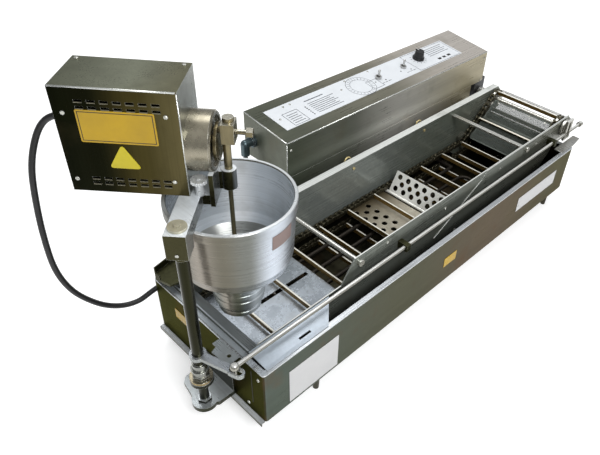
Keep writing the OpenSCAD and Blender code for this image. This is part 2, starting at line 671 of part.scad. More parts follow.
module exit_lip() color(bright) base() {
  translate([drive_x + drive_pr + 8, conv_y, plate_top - 14]) rotate([0, 18, 0]) cube([24, conv_w, sheet_t]);
  linear_extrude(2) polygon([[tank_l - 42, 3], [tank_l + 8, 3], [tank_l + 45, 8], [tank_l + 45, rod_y - 6],
    [tank_l - 42, rod_y - 6]]);
}

// Turner

module hole_rows(l, w) for (i = [0:2], j = [0:6 - i % 2])
  translate([l * (0.22 + 0.28 * i), w * (0.08 + 0.14 * (j + (i % 2) / 2))]) circle(r = turn_hole_r, $fn = 24);
module turner() color(white) base() translate([turn_x, 0, turn_z]) {
  ycyl(0, conv_y - plate_t - 1, conv_y2 + plate_t + 1, 0, turn_r);
  rotate([0, -flap_a, 0]) translate([0, mesh_y0, -sheet_t / 2]) linear_extrude(sheet_t) difference() {
    square([flap_l, mesh_w]);
    translate([flap_l * 0.06, 0]) hole_rows(flap_l * 0.94, mesh_w);
  }
}
bed_x0 = bed_x1 - bed_l;
bed_top = turn_z - sheet_t / 2 - 2 * gap;
module turner_bed() color(white) base() translate([bed_x0, conv_y, bed_top - sheet_t])
  linear_extrude(sheet_t) difference() {
    square([turn_x - turn_r - 3 - bed_x0, conv_w]);
    translate([0, 8]) hole_rows(bed_l, conv_w - 16);
  }

// Swing column and connecting rod

module tongue() color(bright) base() {
  translate([0, 0, -tongue_depth - tongue_t]) linear_extrude(tongue_t) {
    translate([col_x, col_y]) circle(r = 19, $fn = 48);
    polygon([[0, col_y - 20], [col_x + 11, col_y - 20], [col_x, col_y - 10], [col_x - 11, col_y + 16],
      [col_x - 6, col_y + 44], [col_x + 3, col_y + 52], [0, col_y + 52]]);
  }
  box(-4, 0, col_y - 20, col_y + 52, -tongue_depth, -tongue_depth + 30);
  translate([0, 0, -4]) linear_extrude(2.5) difference() {
    polygon([[0, col_y - 38], [-22, col_y - 38], [-22, col_y - 4], [-12, col_y], [-12, col_y + 8], [0, col_y + 8]]);
    translate([-9, col_y - 26]) circle(r = 3, $fn = 32);
  }
}

post_top = -tongue_depth + 44;
collar_z = post_top + 6 + gap;
collar_h = 30;
post_r = journal_r + 1;
module post() color(dark) at_col() {
  translate([0, 0, -tongue_depth]) cylinder(r = post_r, h = collar_z + collar_h - 1 + tongue_depth, $fn = 48);
  translate([0, 0, -tongue_depth]) cylinder(r = post_r + 4, h = 5, $fn = 6);
  translate([0, 0, post_top]) cylinder(r = 17, h = 6, $fn = 48);
}

module column() color(dark) at_col() difference() {
  union() {
    translate([0, 0, collar_z]) cylinder(r = 16.5, h = 4, $fn = 48);
    translate([0, 0, collar_z + 4]) cylinder(r = 13, h = 5, $fn = 6);
    translate([0, 0, collar_z + 9]) cylinder(r = 11, h = 10, $fn = 48);
    translate([0, 0, collar_z + 19]) cylinder(r = 13, h = 3, $fn = 48);
    translate([0, 0, collar_z + 22]) cylinder(r = 10.5, h = collar_h - 20, $fn = 48);
    translate([0, 0, collar_z]) cylinder(r = col_r, h = hop_top + arm_t - 2 - collar_z, $fn = 48);
  }
  translate([0, 0, collar_z - 1]) cylinder(r = post_r + fit, h = collar_h + 1, $fn = 48);
}

lever_z = 3;
lever_t = 6;
lever_pin = 3;
lever_a = atan(lever_x / lever_l);
lever_r = sqrt(lever_x * lever_x + lever_l * lever_l);
rod_x0 = col_x + lever_x;
slot_r = lever_pin + 1.5;
module lever() color(bright) at_col() translate([0, 0, lever_z]) rotate([0, 0, lever_a]) linear_extrude(lever_t)
  difference() {
    union() {
      circle(r = col_r + 4, $fn = 48);
      translate([-6, -lever_r]) square([12, lever_r]);
      for (d = [-4, 7]) translate([0, -lever_r - d]) circle(r = slot_r + 3, $fn = 48);
      translate([-slot_r - 3, -lever_r - 7]) square([2 * slot_r + 6, 11]);
    }
    circle(r = col_r, $fn = 48);
    translate([-slot_r, -lever_r - 7]) square([2 * slot_r, 11]);
    for (d = [-4, 7]) translate([0, -lever_r - d]) circle(r = slot_r, $fn = 32);
  }

yoke_z0 = drive_z - rod_throw - 10;
yoke_z1 = drive_z + rod_throw + 10;
module connecting_rod() color(bright) base() difference() {
  union() {
    xcyl(rod_x0, rod_end_x - 6, rod_y, rod_z, rod_r);
    xcyl(rod_end_x - 10, rod_end_x, rod_y, rod_z, rod_r + 2.5);
    translate([rod_x0, rod_y, rod_z]) sphere(r = 6.5, $fn = 32);
    translate([rod_x0, rod_y, lever_z - 3]) cylinder(r = lever_pin, h = rod_z - lever_z + 3, $fn = 32);
    box(drive_x - 13, drive_x + 13, rod_y - 2.5, rod_y + 2.5, max(yoke_z0, 1), yoke_z1);
  }
  box(drive_x - 5, drive_x + 5, rod_y - 9, rod_y + 9, max(yoke_z0, 1) + 4, yoke_z1 - 5);
}

module rod_guides() color(dark) base() for (x = [tall_x + 112, tank_l - 44]) difference() {
  box(x - 5, x + 5, rod_y - rod_r - 3, x > turn_x ? conv_y - plate_t - splice_t : conv_y - plate_t,
    rod_z - rod_r - 3, rod_z + rod_r + 3);
  xcyl(x - 8, x + 8, rod_y, rod_z, rod_r + fit);
}

// Depositor head

guide_z0 = hop_top + 12;
guide_z1 = hop_top + 40;
rod_stem_r = 5;
web_u = drum_l - 5;
// web under the gear drum, with the guide of the plunger's stem
module plunger_guide() {
  difference() {
    box(web_u, drum_l + 1, hop_v - 34, hop_v + 12, hop_top + 4, hop_top + 50);
    translate([0, hop_v, crank_z]) rotate([0, 90, 0]) cylinder(r = drum_r + gap, h = 3 * drum_l, $fn = 96);
  }
  box(arm_w / 2 - 1, web_u + 1, hop_v - 30, hop_v + 2, hop_top + 4, hop_top + arm_t - 2);
  box(drum_l, hop_u, hop_v - 6, hop_v + 6, guide_z0, guide_z1 - 2);
  translate([hop_u, hop_v, guide_z0]) cylinder(r = rod_stem_r + 4.5, h = guide_z1 - guide_z0, $fn = 48);
}

module arm() color(alu) head() difference() {
  union() {
    plunger_guide();
    box(-arm_w / 2, arm_w / 2, -16, arm_l, hop_top, hop_top + arm_t);
    box(-arm_w / 2, arm_w / 2, -16, 11, hop_top - 16, hop_top);
    translate([0, 0, hop_top - 21]) cylinder(r = 11, h = 5, $fn = 48);
    translate([0, 0, hop_top - 25]) cylinder(r = 9.5, h = 5, $fn = 48);
  }
  translate([0, 0, hop_top - 31]) cylinder(r = col_r, h = arm_t + 29, $fn = 48);
  translate([hop_u, hop_v, guide_z0 - 1]) cylinder(r = rod_stem_r + fit, h = guide_z1 - guide_z0 + 2, $fn = 48);
}

module column_cap() color(brass) head() translate([0, 0, hop_top + arm_t]) {
  cylinder(r = 11.5, h = 3, $fn = 48);
  translate([0, 0, 3]) cylinder(r = 4.5, h = 2.4, $fn = 6);
}

module clamp_knob() color(alu) head() translate([arm_w / 2 - 1, box_v + 4, hop_top + arm_t]) {
  cylinder(r = 5.5, h = 18, $fn = 32);
  difference() {
    translate([0, 0, 18]) cylinder(r = 10.4, h = 4.5, $fn = 48);
    for (i = [0:15]) rotate(i * 22.5) translate([11.2, 0, 17]) cylinder(r = 1.5, h = 7, $fn = 16);
  }
  translate([0, 0, 22.5]) cylinder(r = 3, h = 1.2, $fn = 6);
}

box_u0 = 1 - box_w;
module head_case() color(olive) head() difference() {
  box(box_u0, 1, box_v, box_v + box_d, box_z, box_z + box_h);
  box(box_u0 + box_t, 1 - box_t, box_v - 1, box_v + box_d - box_t, box_z + box_t, box_z + box_h - box_t);
  translate([-box_t, hop_v, crank_z]) rotate([0, 90, 0]) cylinder(r = 9, h = 10, $fn = 48);
}

module head_front() color(olive) head() difference() {
  box(box_u0, 1, box_v - box_t, box_v, box_z, box_z + box_h);
  for (i = [0:6], z = [11, 18, box_h - 26, box_h - 18])
    box(box_u0 + 26 + i * 14, box_u0 + 35 + i * 14, box_v - 5, box_v + 5, box_z + z, box_z + z + 3);
}

module head_motor() color(dark) head() {
  difference() {
    box(-30, 1 - box_t, hop_v - 30, hop_v + 30, box_z + 16, crank_z + 34);
    translate([-20, hop_v, crank_z]) rotate([0, 90, 0]) cylinder(r = journal_r + fit, h = 40, $fn = 48);
  }
  translate([-118, hop_v, crank_z]) rotate([0, 90, 0]) cylinder(r = 26, h = 88, $fn = 48);
}

module gear_drum() color(alu) head() translate([1, hop_v, crank_z]) rotate([0, 90, 0]) difference() {
  union() {
    cylinder(r = drum_r, h = drum_l - 2, $fn = 64);
    translate([0, 0, drum_l - 2]) cylinder(r1 = drum_r, r2 = drum_r - 2, h = 2, $fn = 64);
  }
  translate([0, 0, drum_l - 3]) cylinder(r = drum_r - 6, h = 5, $fn = 64);
  translate([0, 0, -1]) cylinder(r = journal_r + fit, h = drum_l + 2, $fn = 48);
}

disc_u = 1 + drum_l + gap;
pin_u = disc_u + 4;
block_u = hop_u - 4;
module crank() color(bright) head() translate([0, hop_v, crank_z]) {
  translate([-16, 0, 0]) rotate([0, 90, 0]) cylinder(r = journal_r, h = disc_u + 17, $fn = 48);
  translate([disc_u, 0, 0]) rotate([0, 90, 0]) cylinder(r = throw + 8, h = 4, $fn = 48);
  translate([pin_u - 1, 0, throw]) rotate([0, 90, 0]) cylinder(r = 4, h = block_u - gap - pin_u + 1, $fn = 32);
}

module plunger() color(bright) head() translate([hop_u, hop_v, 0]) {
  translate([-4, -11, crank_z + throw - 14]) cube([16, 22, 26]);
  translate([4, 0, crank_z + throw + 12]) cylinder(r = 7, h = 6, $fn = 32);
  translate([11, 0, crank_z + throw - 2]) rotate([0, 90, 0]) cylinder(r = 3.2, h = 20, $fn = 32);
  translate([25, 0, crank_z + throw - 2]) rotate([0, 90, 0]) cylinder(r = 6.5, h = 8, $fn = 6);
  translate([0, 0, guide_z0]) cylinder(r = rod_stem_r, h = crank_z + throw - 12 - guide_z0, $fn = 48);
  translate([0, 0, piston_z + 12]) cylinder(r = plunger_r, h = guide_z0 - piston_z - 11, $fn = 32);
}

piston_z = outlet_z + 2 * throw + 4;
module piston() color(alu) head() translate([hop_u, hop_v, piston_z]) {
  cylinder(r = bore_r - fit, h = 8, $fn = 64);
  translate([0, 0, 8]) cylinder(r1 = bore_r - 4, r2 = plunger_r + 3, h = 4, $fn = 64);
}

bowl_r = hop_r - 2.5;
module hopper_bowl() color(alu) head() translate([hop_u, hop_v, 0]) rotate_extrude($fn = 96) polygon([
  [bore_r, neck_z], [outlet_r, neck_z], [outlet_r + 3, neck_z + 4], [bowl_r - 22, neck_z + 20],
  [bowl_r - 9, neck_z + 33], [bowl_r - 4, neck_z + 48], [bowl_r, hop_top - 16], [hop_r, hop_top - 14],
  [hop_r, hop_top - 1], [hop_r - 1, hop_top], [bowl_r - hop_t + 1, hop_top], [bowl_r - hop_t, hop_top - 2],
  [bowl_r - hop_t, hop_top - 16], [bowl_r - 4 - hop_t, neck_z + 50], [bowl_r - 10 - hop_t, neck_z + 36],
  [bowl_r - 24, neck_z + 23], [outlet_r, neck_z + 8], [bore_r, neck_z + 4]]);

module outlet() color(alu) head() translate([hop_u, hop_v, 0]) rotate_extrude($fn = 96) polygon([
  [bore_r, outlet_z], [bore_r + 4, outlet_z], [bore_r + 6, outlet_z + 2], [bore_r + 6, outlet_z + 8],
  [bore_r + 5, outlet_z + 9], [outlet_r - 5, outlet_z + 20], [outlet_r - 5, outlet_z + 27], [outlet_r - 3.5, outlet_z + 28],
  [outlet_r - 3.5, outlet_z + 33], [outlet_r - 4.5, outlet_z + 34], [outlet_r - 4.5, neck_z - 21], [outlet_r - 2, neck_z - 20],
  [outlet_r - 2, neck_z - 14], [outlet_r - 3, neck_z - 13], [outlet_r - 3, neck_z - 7], [outlet_r, neck_z - 6],
  [outlet_r, neck_z], [bore_r, neck_z]]);

// Drip tray and cable

tray_z = 14;
module drip_tray() color(dark) base() translate([0, tank_w, 0]) {
  difference() {
    translate([0, 0, tray_z]) linear_extrude(13) polygon([[-6, -20], [1, -47], [17, -52], [60, -52], [60, 0], [30, 0], [0, -7]]);
    translate([0, 0, tray_z + sheet_t]) linear_extrude(13)
      polygon([[-4.2, -20], [2.3, -45.8], [17.3, -50.5], [58.5, -50.5], [58.5, -1.5], [30.2, -1.5], [1, -8.2]]);
    box(-20, 80, -70, -28, tray_z + 4, tray_z + 20);
  }
  for (x = [3, 48]) box(x, x + 6, -8.5, -2.5, 0, tray_z);
}

elbow_y = ctl_y + 92;
elbow_z = ctl_lift + 36;
elbow_x = ctl_x - 19;
module cord_elbow() color(dark) base() {
  xcyl(ctl_x - 5, ctl_x, elbow_y, elbow_z, 12);
  xcyl(elbow_x, ctl_x - 4, elbow_y, elbow_z, 8);
  translate([elbow_x, elbow_y, elbow_z]) sphere(r = 8, $fn = 32);
  difference() {
    translate([elbow_x, elbow_y, elbow_z - 22]) cylinder(r = 8, h = 22, $fn = 32);
    translate([elbow_x, elbow_y, elbow_z - 23]) cylinder(r = cord_r + gap, h = 12, $fn = 32);
  }
}

gland_v = box_v + 50;
gland_z = box_z + box_h - 64;
module cord_gland() color(dark) head() translate([box_u0, gland_v, gland_z]) rotate([0, -90, 0]) difference() {
  union() {
    cylinder(r = 9, h = 4, $fn = 6);
    cylinder(r = 7, h = 13, $fn = 32);
  }
  translate([0, 0, 6]) cylinder(r = cord_r + gap, h = 10, $fn = 32);
}

// cable route in kettle coordinates: from the gland, round the loop, along the back wall to the elbow
function to_base(u, v, z) = [col_x + cos(head_yaw) * u - sin(head_yaw) * v, col_y + sin(head_yaw) * u + cos(head_yaw) * v, z];
cord_pts = [
  to_base(box_u0 - 7, gland_v, gland_z), to_base(box_u0 - 22, gland_v, gland_z - 1),
  to_base(box_u0 - 41, gland_v + 1, gland_z - 11), [-90, 304, 272], [-103, 308, 237], [-111, 309, 195], [-118, 307, 130],
  [-119, 303, 68], [-107, 298, 20], [-81, 291, -19], [-54, 284, -39], [-26, 278, -44], [3, 274, -35], [60, 271, -24],
  [150, 272, -20],
  [215, 282, -12], [246, 310, 10], [elbow_x - 1, elbow_y - 14, 38], [elbow_x, elbow_y, elbow_z - 30], [elbow_x, elbow_y, elbow_z - 13]
];
function spline(p, i, t) = let (n = len(p), a = p[max(i - 1, 0)], b = p[i], c = p[i + 1], d = p[min(i + 2, n - 1)])
  0.5 * (2 * b + (c - a) * t + (2 * a - 5 * b + 4 * c - d) * t * t + (3 * b - a - 3 * c + d) * t * t * t);
cord_steps = 4;
cord_sides = 10;
cord_line = [for (i = [0:len(cord_pts) - 2], j = [0:cord_steps - 1]) spline(cord_pts, i, j / cord_steps), cord_pts[len(cord_pts) - 1]];
function unit(v) = v / norm(v);
function cord_dir(k) = unit(cord_line[min(k + 1, len(cord_line) - 1)] - cord_line[max(k - 1, 0)]);
function side_of(d) = unit(cross(d, abs(d[2]) > 0.9 ? [0, 1, 0] : [0, 0, 1]));
// each ring's start is carried over from the ring before, so the tube does not twist
function frames(k, s) = let (d = cord_dir(k), n = unit(s - (s * d) * d))
  k == len(cord_line) - 1 ? [n] : concat([n], frames(k + 1, n));
cord_frames = frames(0, side_of(cord_dir(0)));
cord_rings = [for (k = [0:len(cord_line) - 1], q = [0:cord_sides - 1]) let (n = cord_frames[k], b = cross(cord_dir(k), n),
  a = q * 360 / cord_sides) cord_line[k] + cord_r * (cos(a) * n + sin(a) * b)];
cord_last = (len(cord_line) - 1) * cord_sides;
cord_faces = concat(
  [for (k = [0:len(cord_line) - 2], q = [0:cord_sides - 1]) let (a = k * cord_sides + q, b = k * cord_sides + (q + 1) % cord_sides)
    each [[a, a + cord_sides, b], [b, a + cord_sides, b + cord_sides]]],
  [for (q = [1:cord_sides - 2]) each [[0, q, q + 1], [cord_last, cord_last + q + 1, cord_last + q]]]);
module cord() color(black) base() polyhedron(points = cord_rings, faces = cord_faces, convexity = 8);

kettle();
rim();
feet();
heater();
thermo_bulb();
hanger();
ctl_shell();
ctl_panel();
overlay();
knob();
thermostat();
switch_bodies();
toggle_1();
toggle_2();
control_gear();
pull_pin_1();
pull_pin_2();
drive_motor();
drive_shaft();
coupling();
rod_crank();
tail_shaft();
chain_front();
chain_rear();
flights();
side_front();
side_rear();
tie_rods();
chain_guides();
drop_plate();
end_plate();
feed_guard();
ramp_bars();
mesh_panels();
exit_lip();
turner();
turner_bed();
tongue();
post();
column();
lever();
connecting_rod();
rod_guides();
arm();
column_cap();
clamp_knob();
head_case();
head_front();
head_motor();
gear_drum();
crank();
plunger();
piston();
hopper_bowl();
outlet();
drip_tray();
cord_elbow();
cord_gland();
cord();
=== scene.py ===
import math

import bmesh
import bpy
from mathutils import Matrix, Vector


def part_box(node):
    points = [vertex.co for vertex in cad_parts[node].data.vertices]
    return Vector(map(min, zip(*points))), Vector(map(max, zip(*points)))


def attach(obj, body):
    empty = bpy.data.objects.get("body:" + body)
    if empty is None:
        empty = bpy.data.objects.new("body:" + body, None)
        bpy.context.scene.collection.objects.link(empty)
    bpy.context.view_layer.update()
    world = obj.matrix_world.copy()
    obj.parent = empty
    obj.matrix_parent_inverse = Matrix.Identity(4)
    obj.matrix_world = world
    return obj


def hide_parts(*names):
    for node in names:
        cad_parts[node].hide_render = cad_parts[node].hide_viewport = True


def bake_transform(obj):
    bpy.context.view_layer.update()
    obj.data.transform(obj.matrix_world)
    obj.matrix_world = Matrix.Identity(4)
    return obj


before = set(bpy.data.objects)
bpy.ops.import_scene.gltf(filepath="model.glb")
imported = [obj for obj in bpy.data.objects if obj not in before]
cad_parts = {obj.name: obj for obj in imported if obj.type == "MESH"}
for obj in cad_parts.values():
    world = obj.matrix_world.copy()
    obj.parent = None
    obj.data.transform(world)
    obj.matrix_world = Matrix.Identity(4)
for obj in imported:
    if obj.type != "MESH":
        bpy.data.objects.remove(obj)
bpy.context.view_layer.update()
scene = bpy.context.scene

MM = 0.001

# Places are given in millimetres from the kettle's front left rim corner, as on a drawing.
kettle_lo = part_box("kettle")[0]
rim_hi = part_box("rim")[1]
CORNER = Vector((kettle_lo.x, kettle_lo.y, rim_hi.z))


def at(x, y, z):
    return CORNER + Vector((x, y, z)) * MM


def size_mm(node):
    lo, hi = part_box(node)
    return (lo - CORNER) / MM, (hi - CORNER) / MM


ROOT = Matrix.Translation(CORNER)

# The depositor's head stands turned about the column.
COLUMN = Vector((-41.0, 88.0, 0.0))
HEAD_YAW = math.radians(-47.7)
HEAD_TURN = Matrix.Rotation(HEAD_YAW, 4, "Z")
HEAD = Matrix.Translation(at(*COLUMN)) @ HEAD_TURN


def head(u, v, z):
    return HEAD @ (Vector((u, v, z)) * MM)


# The control panel slopes up to the back.
CTL_LO, CTL_HI = size_mm("ctl_shell")
CTL_FRONT_TOP = 128.0
CTL_W = CTL_HI.x - CTL_LO.x
CTL_DEPTH = CTL_HI.y - CTL_LO.y
PANEL_SLOPE = math.atan2(CTL_HI.z - CTL_FRONT_TOP, CTL_DEPTH)
PANEL_TURN = Matrix.Rotation(PANEL_SLOPE, 4, "X")
OVERLAY_TOP = 2.1
PRINT_H = 0.12
DIAL_X, DIAL_D = 525 - CTL_LO.x, 58
KNOB_X, KNOB_D = 717 - CTL_LO.x, 66.6
KNOB_TOP = OVERLAY_TOP + 0.4 + 18.85


def panel_matrix(x, d, h):
    local = PANEL_TURN @ Vector((x, d, h))
    corner = Vector((CTL_LO.x, CTL_LO.y, CTL_FRONT_TOP))
    return Matrix.Translation(at(*(corner + local))) @ PANEL_TURN


def panel_point(x, d, h):
    return panel_matrix(x, d, h).translation


X = Vector((1, 0, 0))
Y = Vector((0, 1, 0))
UP = Vector((0, 0, 1))
LEFT = -X
FRONT = -Y
HEAD_RIGHT = HEAD_TURN.to_3x3() @ X
HEAD_FRONT = HEAD_TURN.to_3x3() @ FRONT
HOPPER_U, HOPPER_V = 42.0, 97.0
HOPPER = COLUMN + HEAD_TURN.to_3x3() @ Vector((HOPPER_U, HOPPER_V, 0.0))


# Colours

def srgb(r, g, b):
    def lin(c):
        c = c / 255.0
        return c / 12.92 if c <= 0.04045 else ((c + 0.055) / 1.055) ** 2.4
    return (lin(r), lin(g), lin(b), 1.0)


class Finish:
    """A procedural material in the making, with short names for its nodes."""

    def __init__(self, name):
        self.material = bpy.data.materials.new(name)
        self.material.use_nodes = True
        self.nodes = self.material.node_tree.nodes
        self.links = self.material.node_tree.links
        self.bsdf = self.nodes["Principled BSDF"]
        self.place = self.nodes.new("ShaderNodeTexCoord")

    def put(self, socket, value):
        if isinstance(value, (int, float, tuple, Vector)):
            socket.default_value = value
        else:
            self.links.new(value, socket)

    def math(self, operation, a, b=0.0):
        node = self.nodes.new("ShaderNodeMath")
        node.operation = operation
        self.put(node.inputs[0], a)
        self.put(node.inputs[1], b)
        return node.outputs["Value"]

    def noise(self, scale, stretch=(1.0, 1.0, 1.0), detail=3.0, rough=0.55):
        mapping = self.nodes.new("ShaderNodeMapping")
        mapping.inputs["Scale"].default_value = stretch
        self.links.new(self.place.outputs["Object"], mapping.inputs["Vector"])
        node = self.nodes.new("ShaderNodeTexNoise")
        node.inputs["Scale"].default_value = scale
        node.inputs["Detail"].default_value = detail
        node.inputs["Roughness"].default_value = rough
        self.links.new(mapping.outputs["Vector"], node.inputs["Vector"])
        return node.outputs["Fac"]

    def remap(self, value, lo, hi, to_lo=0.0, to_hi=1.0):
        node = self.nodes.new("ShaderNodeMapRange")
        for name, number in (("From Min", lo), ("From Max", hi), ("To Min", to_lo), ("To Max", to_hi)):
            node.inputs[name].default_value = number
        self.links.new(value, node.inputs["Value"])
        return node.outputs["Result"]

    def mix(self, fac, a, b, blend="MIX"):
        node = self.nodes.new("ShaderNodeMix")
        node.data_type = "RGBA"
        node.blend_type = blend
        colors = [s for s in node.inputs if s.type == "RGBA"]
        self.put(node.inputs["Factor"], fac)
        self.put(colors[0], a)
        self.put(colors[1], b)
        return [s for s in node.outputs if s.type == "RGBA"][0]

    def times(self, color, factor):
        return self.mix(1.0, color, factor, "MULTIPLY")

    def dot(self, a, b):
        node = self.nodes.new("ShaderNodeVectorMath")
        node.operation = "DOT_PRODUCT"
        self.put(node.inputs[0], a)
        self.put(node.inputs[1], b)
        return node.outputs["Value"]

    def facing(self, direction, lo=0.55, hi=0.85):
        """1 on faces that look along a direction of the model, 0 on the others."""
        return self.remap(self.dot(self.place.outputs["Normal"], direction), lo, hi)

    def along(self, direction, lo, hi):
        """0 to 1 between two places along a direction, in millimetres."""
        start = CORNER.dot(direction)
        place = self.dot(self.place.outputs["Object"], direction)
        return self.remap(place, start + lo * MM, start + hi * MM)

    def from_axis(self, centre):
        """The place seen from an upright axis."""
        node = self.nodes.new("ShaderNodeVectorMath")
        node.operation = "SUBTRACT"
        self.links.new(self.place.outputs["Object"], node.inputs[0])
        node.inputs[1].default_value = at(centre.x, centre.y, 0)
        return node.outputs["Vector"]

    def ramp(self, value, stops):
        node = self.nodes.new("ShaderNodeValToRGB")
        ramp = node.color_ramp
        ramp.interpolation = "EASE"
        ends = (ramp.elements[0], ramp.elements[1])
        for element, (position, color) in zip(ends, (stops[0], stops[-1])):
            element.position = position
            element.color = color
        for position, color in stops[1:-1]:
            ramp.elements.new(position).color = color
        self.links.new(value, node.inputs["Fac"])
        return node.outputs["Color"]

    def edges(self, radius):
        """1 on edges and corners, 0 on flat places, and a normal that rounds them off."""
        bevel = self.nodes.new("ShaderNodeBevel")
        bevel.samples = 4
        bevel.inputs["Radius"].default_value = radius
        geometry = self.nodes.new("ShaderNodeNewGeometry")
        bend = self.dot(bevel.outputs["Normal"], geometry.outputs["Normal"])
        return self.remap(bend, 0.80, 0.985, 1.0, 0.0), bevel.outputs["Normal"]

    def bump(self, height, strength, distance, normal):
        node = self.nodes.new("ShaderNodeBump")
        node.inputs["Strength"].default_value = strength
        node.inputs["Distance"].default_value = distance
        self.links.new(height, node.inputs["Height"])
        self.links.new(normal, node.inputs["Normal"])
        self.links.new(node.outputs["Normal"], self.bsdf.inputs["Normal"])


# Tones: each is a colour, or a function that builds one from the nodes of a finish

def tone_of(f, tone):
    return tone(f) if callable(tone) else tone


def shade_by_face(base, *pairs):
    """Painted light and shade, a tone that depends on the way a face looks: pairs of direction and tone.
    """
    def build(f):
        color = tone_of(f, base)
        for direction, tone in pairs:
            color = f.mix(f.facing(direction), color, tone_of(f, tone))
        return color
    return build


def painted_light_along(direction, lo, hi, *stops):
    """Painted light and shade: a tone that runs through a few stops between two places along a
    direction.
    """
    def build(f):
        return f.ramp(f.along(direction, lo, hi), stops)
    return build


def inside(base, lo, hi, tone):
    """Another tone within a box."""
    def build(f):
        mask = None
        for axis, a, b in zip((X, Y, UP), lo, hi):
            part = f.math("MULTIPLY", f.along(axis, a, a + 0.2), f.along(axis, b, b - 0.2))
            mask = part if mask is None else f.math("MULTIPLY", mask, part)
        return f.mix(mask, tone_of(f, base), tone_of(f, tone))
    return build


def sheen_round_axis(centre, *stops):
    """Painted reflections and highlights: a tone that changes round an upright axis."""
    def build(f):
        split = f.nodes.new("ShaderNodeSeparateXYZ")
        f.links.new(f.from_axis(centre), split.inputs["Vector"])
        angle = f.math("ARCTAN2", split.outputs["Y"], split.outputs["X"])
        return f.ramp(f.remap(angle, -math.pi, math.pi), stops)
    return build


def inward(base, centre, tone):
    """Another tone on faces that look towards an upright axis."""
    def build(f):
        outward = f.dot(f.from_axis(centre), f.place.outputs["Normal"])
        mask = f.remap(outward, 0.004, -0.004)
        return f.mix(mask, tone_of(f, base), tone_of(f, tone))
    return build


def face_value(base, direction, value):
    """A number that is different on faces that look along a direction."""
    def build(f):
        return f.remap(f.dot(f.place.outputs["Normal"], direction), 0.55, 0.85, base, value)
    return build


def inward_value(base, centre, value):
    """A number that is different on faces that look towards an upright axis."""
    def build(f):
        outward = f.dot(f.from_axis(centre), f.place.outputs["Normal"])
        return f.remap(outward, 0.004, -0.004, base, value)
    return build


BRUSH_X = (6.0, 420.0, 420.0)
BRUSH_Y = (420.0, 6.0, 420.0)
BRUSH_Z = (420.0, 420.0, 6.0)
RINGS_Z = (3.0, 3.0, 360.0)
GRAIN = (160.0, 160.0, 160.0)


def metal(name, tone, rough=0.32, brush=BRUSH_X, groove=0.12, contrast=0.12, stain=None, share=0.2,
          edge_highlight=None, edge_mm=0.6, metallic=0.8, blotch=14.0, sheen_band=0.0, turned=False, grazing=None):
    """Brushed, turned or plain sheet metal with stains, and with edges painted bright as a highlight.

    Groove is the depth of the brush lines and contrast their tone, share is how much is stained,
    blotch the scale of the stains, band the strength of wide streaks of painted reflection,
    edge the colour of the painted highlight on edges and corners, grazing the tint of low reflections.
    """
    f = Finish(name)
    lines = f.noise(1.0, brush, 4.0, 0.6)
    cloud = f.noise(blotch, detail=4.0, rough=0.6)
    color = f.times(tone_of(f, tone), f.remap(lines, 0.28, 0.72, 1.0 - contrast, 1.0 + contrast))
    # Wide streaks of painted reflection along the brush lines.
    if sheen_band:
        wide = f.noise(1.0, tuple(0.12 * c for c in brush), 2.0, 0.5)
        color = f.times(color, f.remap(wide, 0.3, 0.7, 1.0 - sheen_band, 1.0 + sheen_band))
    if stain is not None:
        color = f.mix(f.remap(cloud, 0.62 - 0.3 * share, 0.8, 0.0, min(1.0, 0.3 + share)), color, stain)
    mask, rounded = f.edges(edge_mm * MM)
    # Edges and corners painted bright: a painted highlight, stronger in some places than others.
    if edge_highlight is not None:
        color = f.mix(f.math("MULTIPLY", mask, f.remap(cloud, 0.3, 0.65, 0.45, 1.0)), color, edge_highlight)
    f.put(f.bsdf.inputs["Base Color"], color)
    fine = f.remap(lines, 0.25, 0.75, rough - 0.06, rough + 0.06)
    wear = f.math("ADD", fine, f.remap(cloud, 0.35, 0.75, -0.05, 0.12))
    f.put(f.bsdf.inputs["Roughness"], wear)
    f.bump(lines, groove, 0.25 * MM, rounded)
    f.put(f.bsdf.inputs["Metallic"], tone_of(f, metallic))
    if grazing is not None:
        f.bsdf.inputs["Specular Tint"].default_value = grazing
    if turned:
        tangent = f.nodes.new("ShaderNodeTangent")
        tangent.direction_type = "RADIAL"
        tangent.axis = "Z"
        f.links.new(tangent.outputs["Tangent"], f.bsdf.inputs["Tangent"])
        f.bsdf.inputs["Anisotropic"].default_value = 0.7
        f.bsdf.inputs["Anisotropic Rotation"].default_value = 0.25
    return f.material


def plastic(name, tone, rough=0.5, grain=900.0, grain_depth=0.08, speck=0.1, edge_highlight=None, edge_mm=0.5):
    """Moulded plastic, rubber, paint or print with a fine grain."""
    f = Finish(name)
    fine = f.noise(grain, detail=2.0, rough=0.5)
    cloud = f.noise(22.0, detail=4.0, rough=0.6)
    color = f.times(tone_of(f, tone), f.remap(cloud, 0.3, 0.7, 1.0 - speck, 1.0 + speck))
    mask, rounded = f.edges(edge_mm * MM)
    # Edges and corners painted brighter: a painted highlight.
    if edge_highlight is not None:
        color = f.mix(f.math("MULTIPLY", mask, 0.6), color, edge_highlight)
    f.put(f.bsdf.inputs["Base Color"], color)
    f.put(f.bsdf.inputs["Roughness"], f.remap(cloud, 0.3, 0.75, rough - 0.07, rough + 0.1))
    f.bump(fine, grain_depth, 0.12 * MM, rounded)
    return f.material


# Materials; the colours given for edges are painted highlights

OIL = srgb(96, 72, 38)
GRIME = srgb(46, 42, 30)
# Bright colours painted on edges and corners as highlights
GLINT = srgb(226, 227, 222)
DIM_GLINT = srgb(196, 198, 194)

# Boxes that hold the inside of the tank, the column's collar and the collar's foot
TANK_LO, TANK_HI = (0.6, 0.6, -104.4), (879.4, 262.4, 0)
COLLAR_LO, COLLAR_HI, COLLAR_FOOT_HI = (-70, 60, -43.2), (-10, 120, -9), (-10, 120, -38.5)
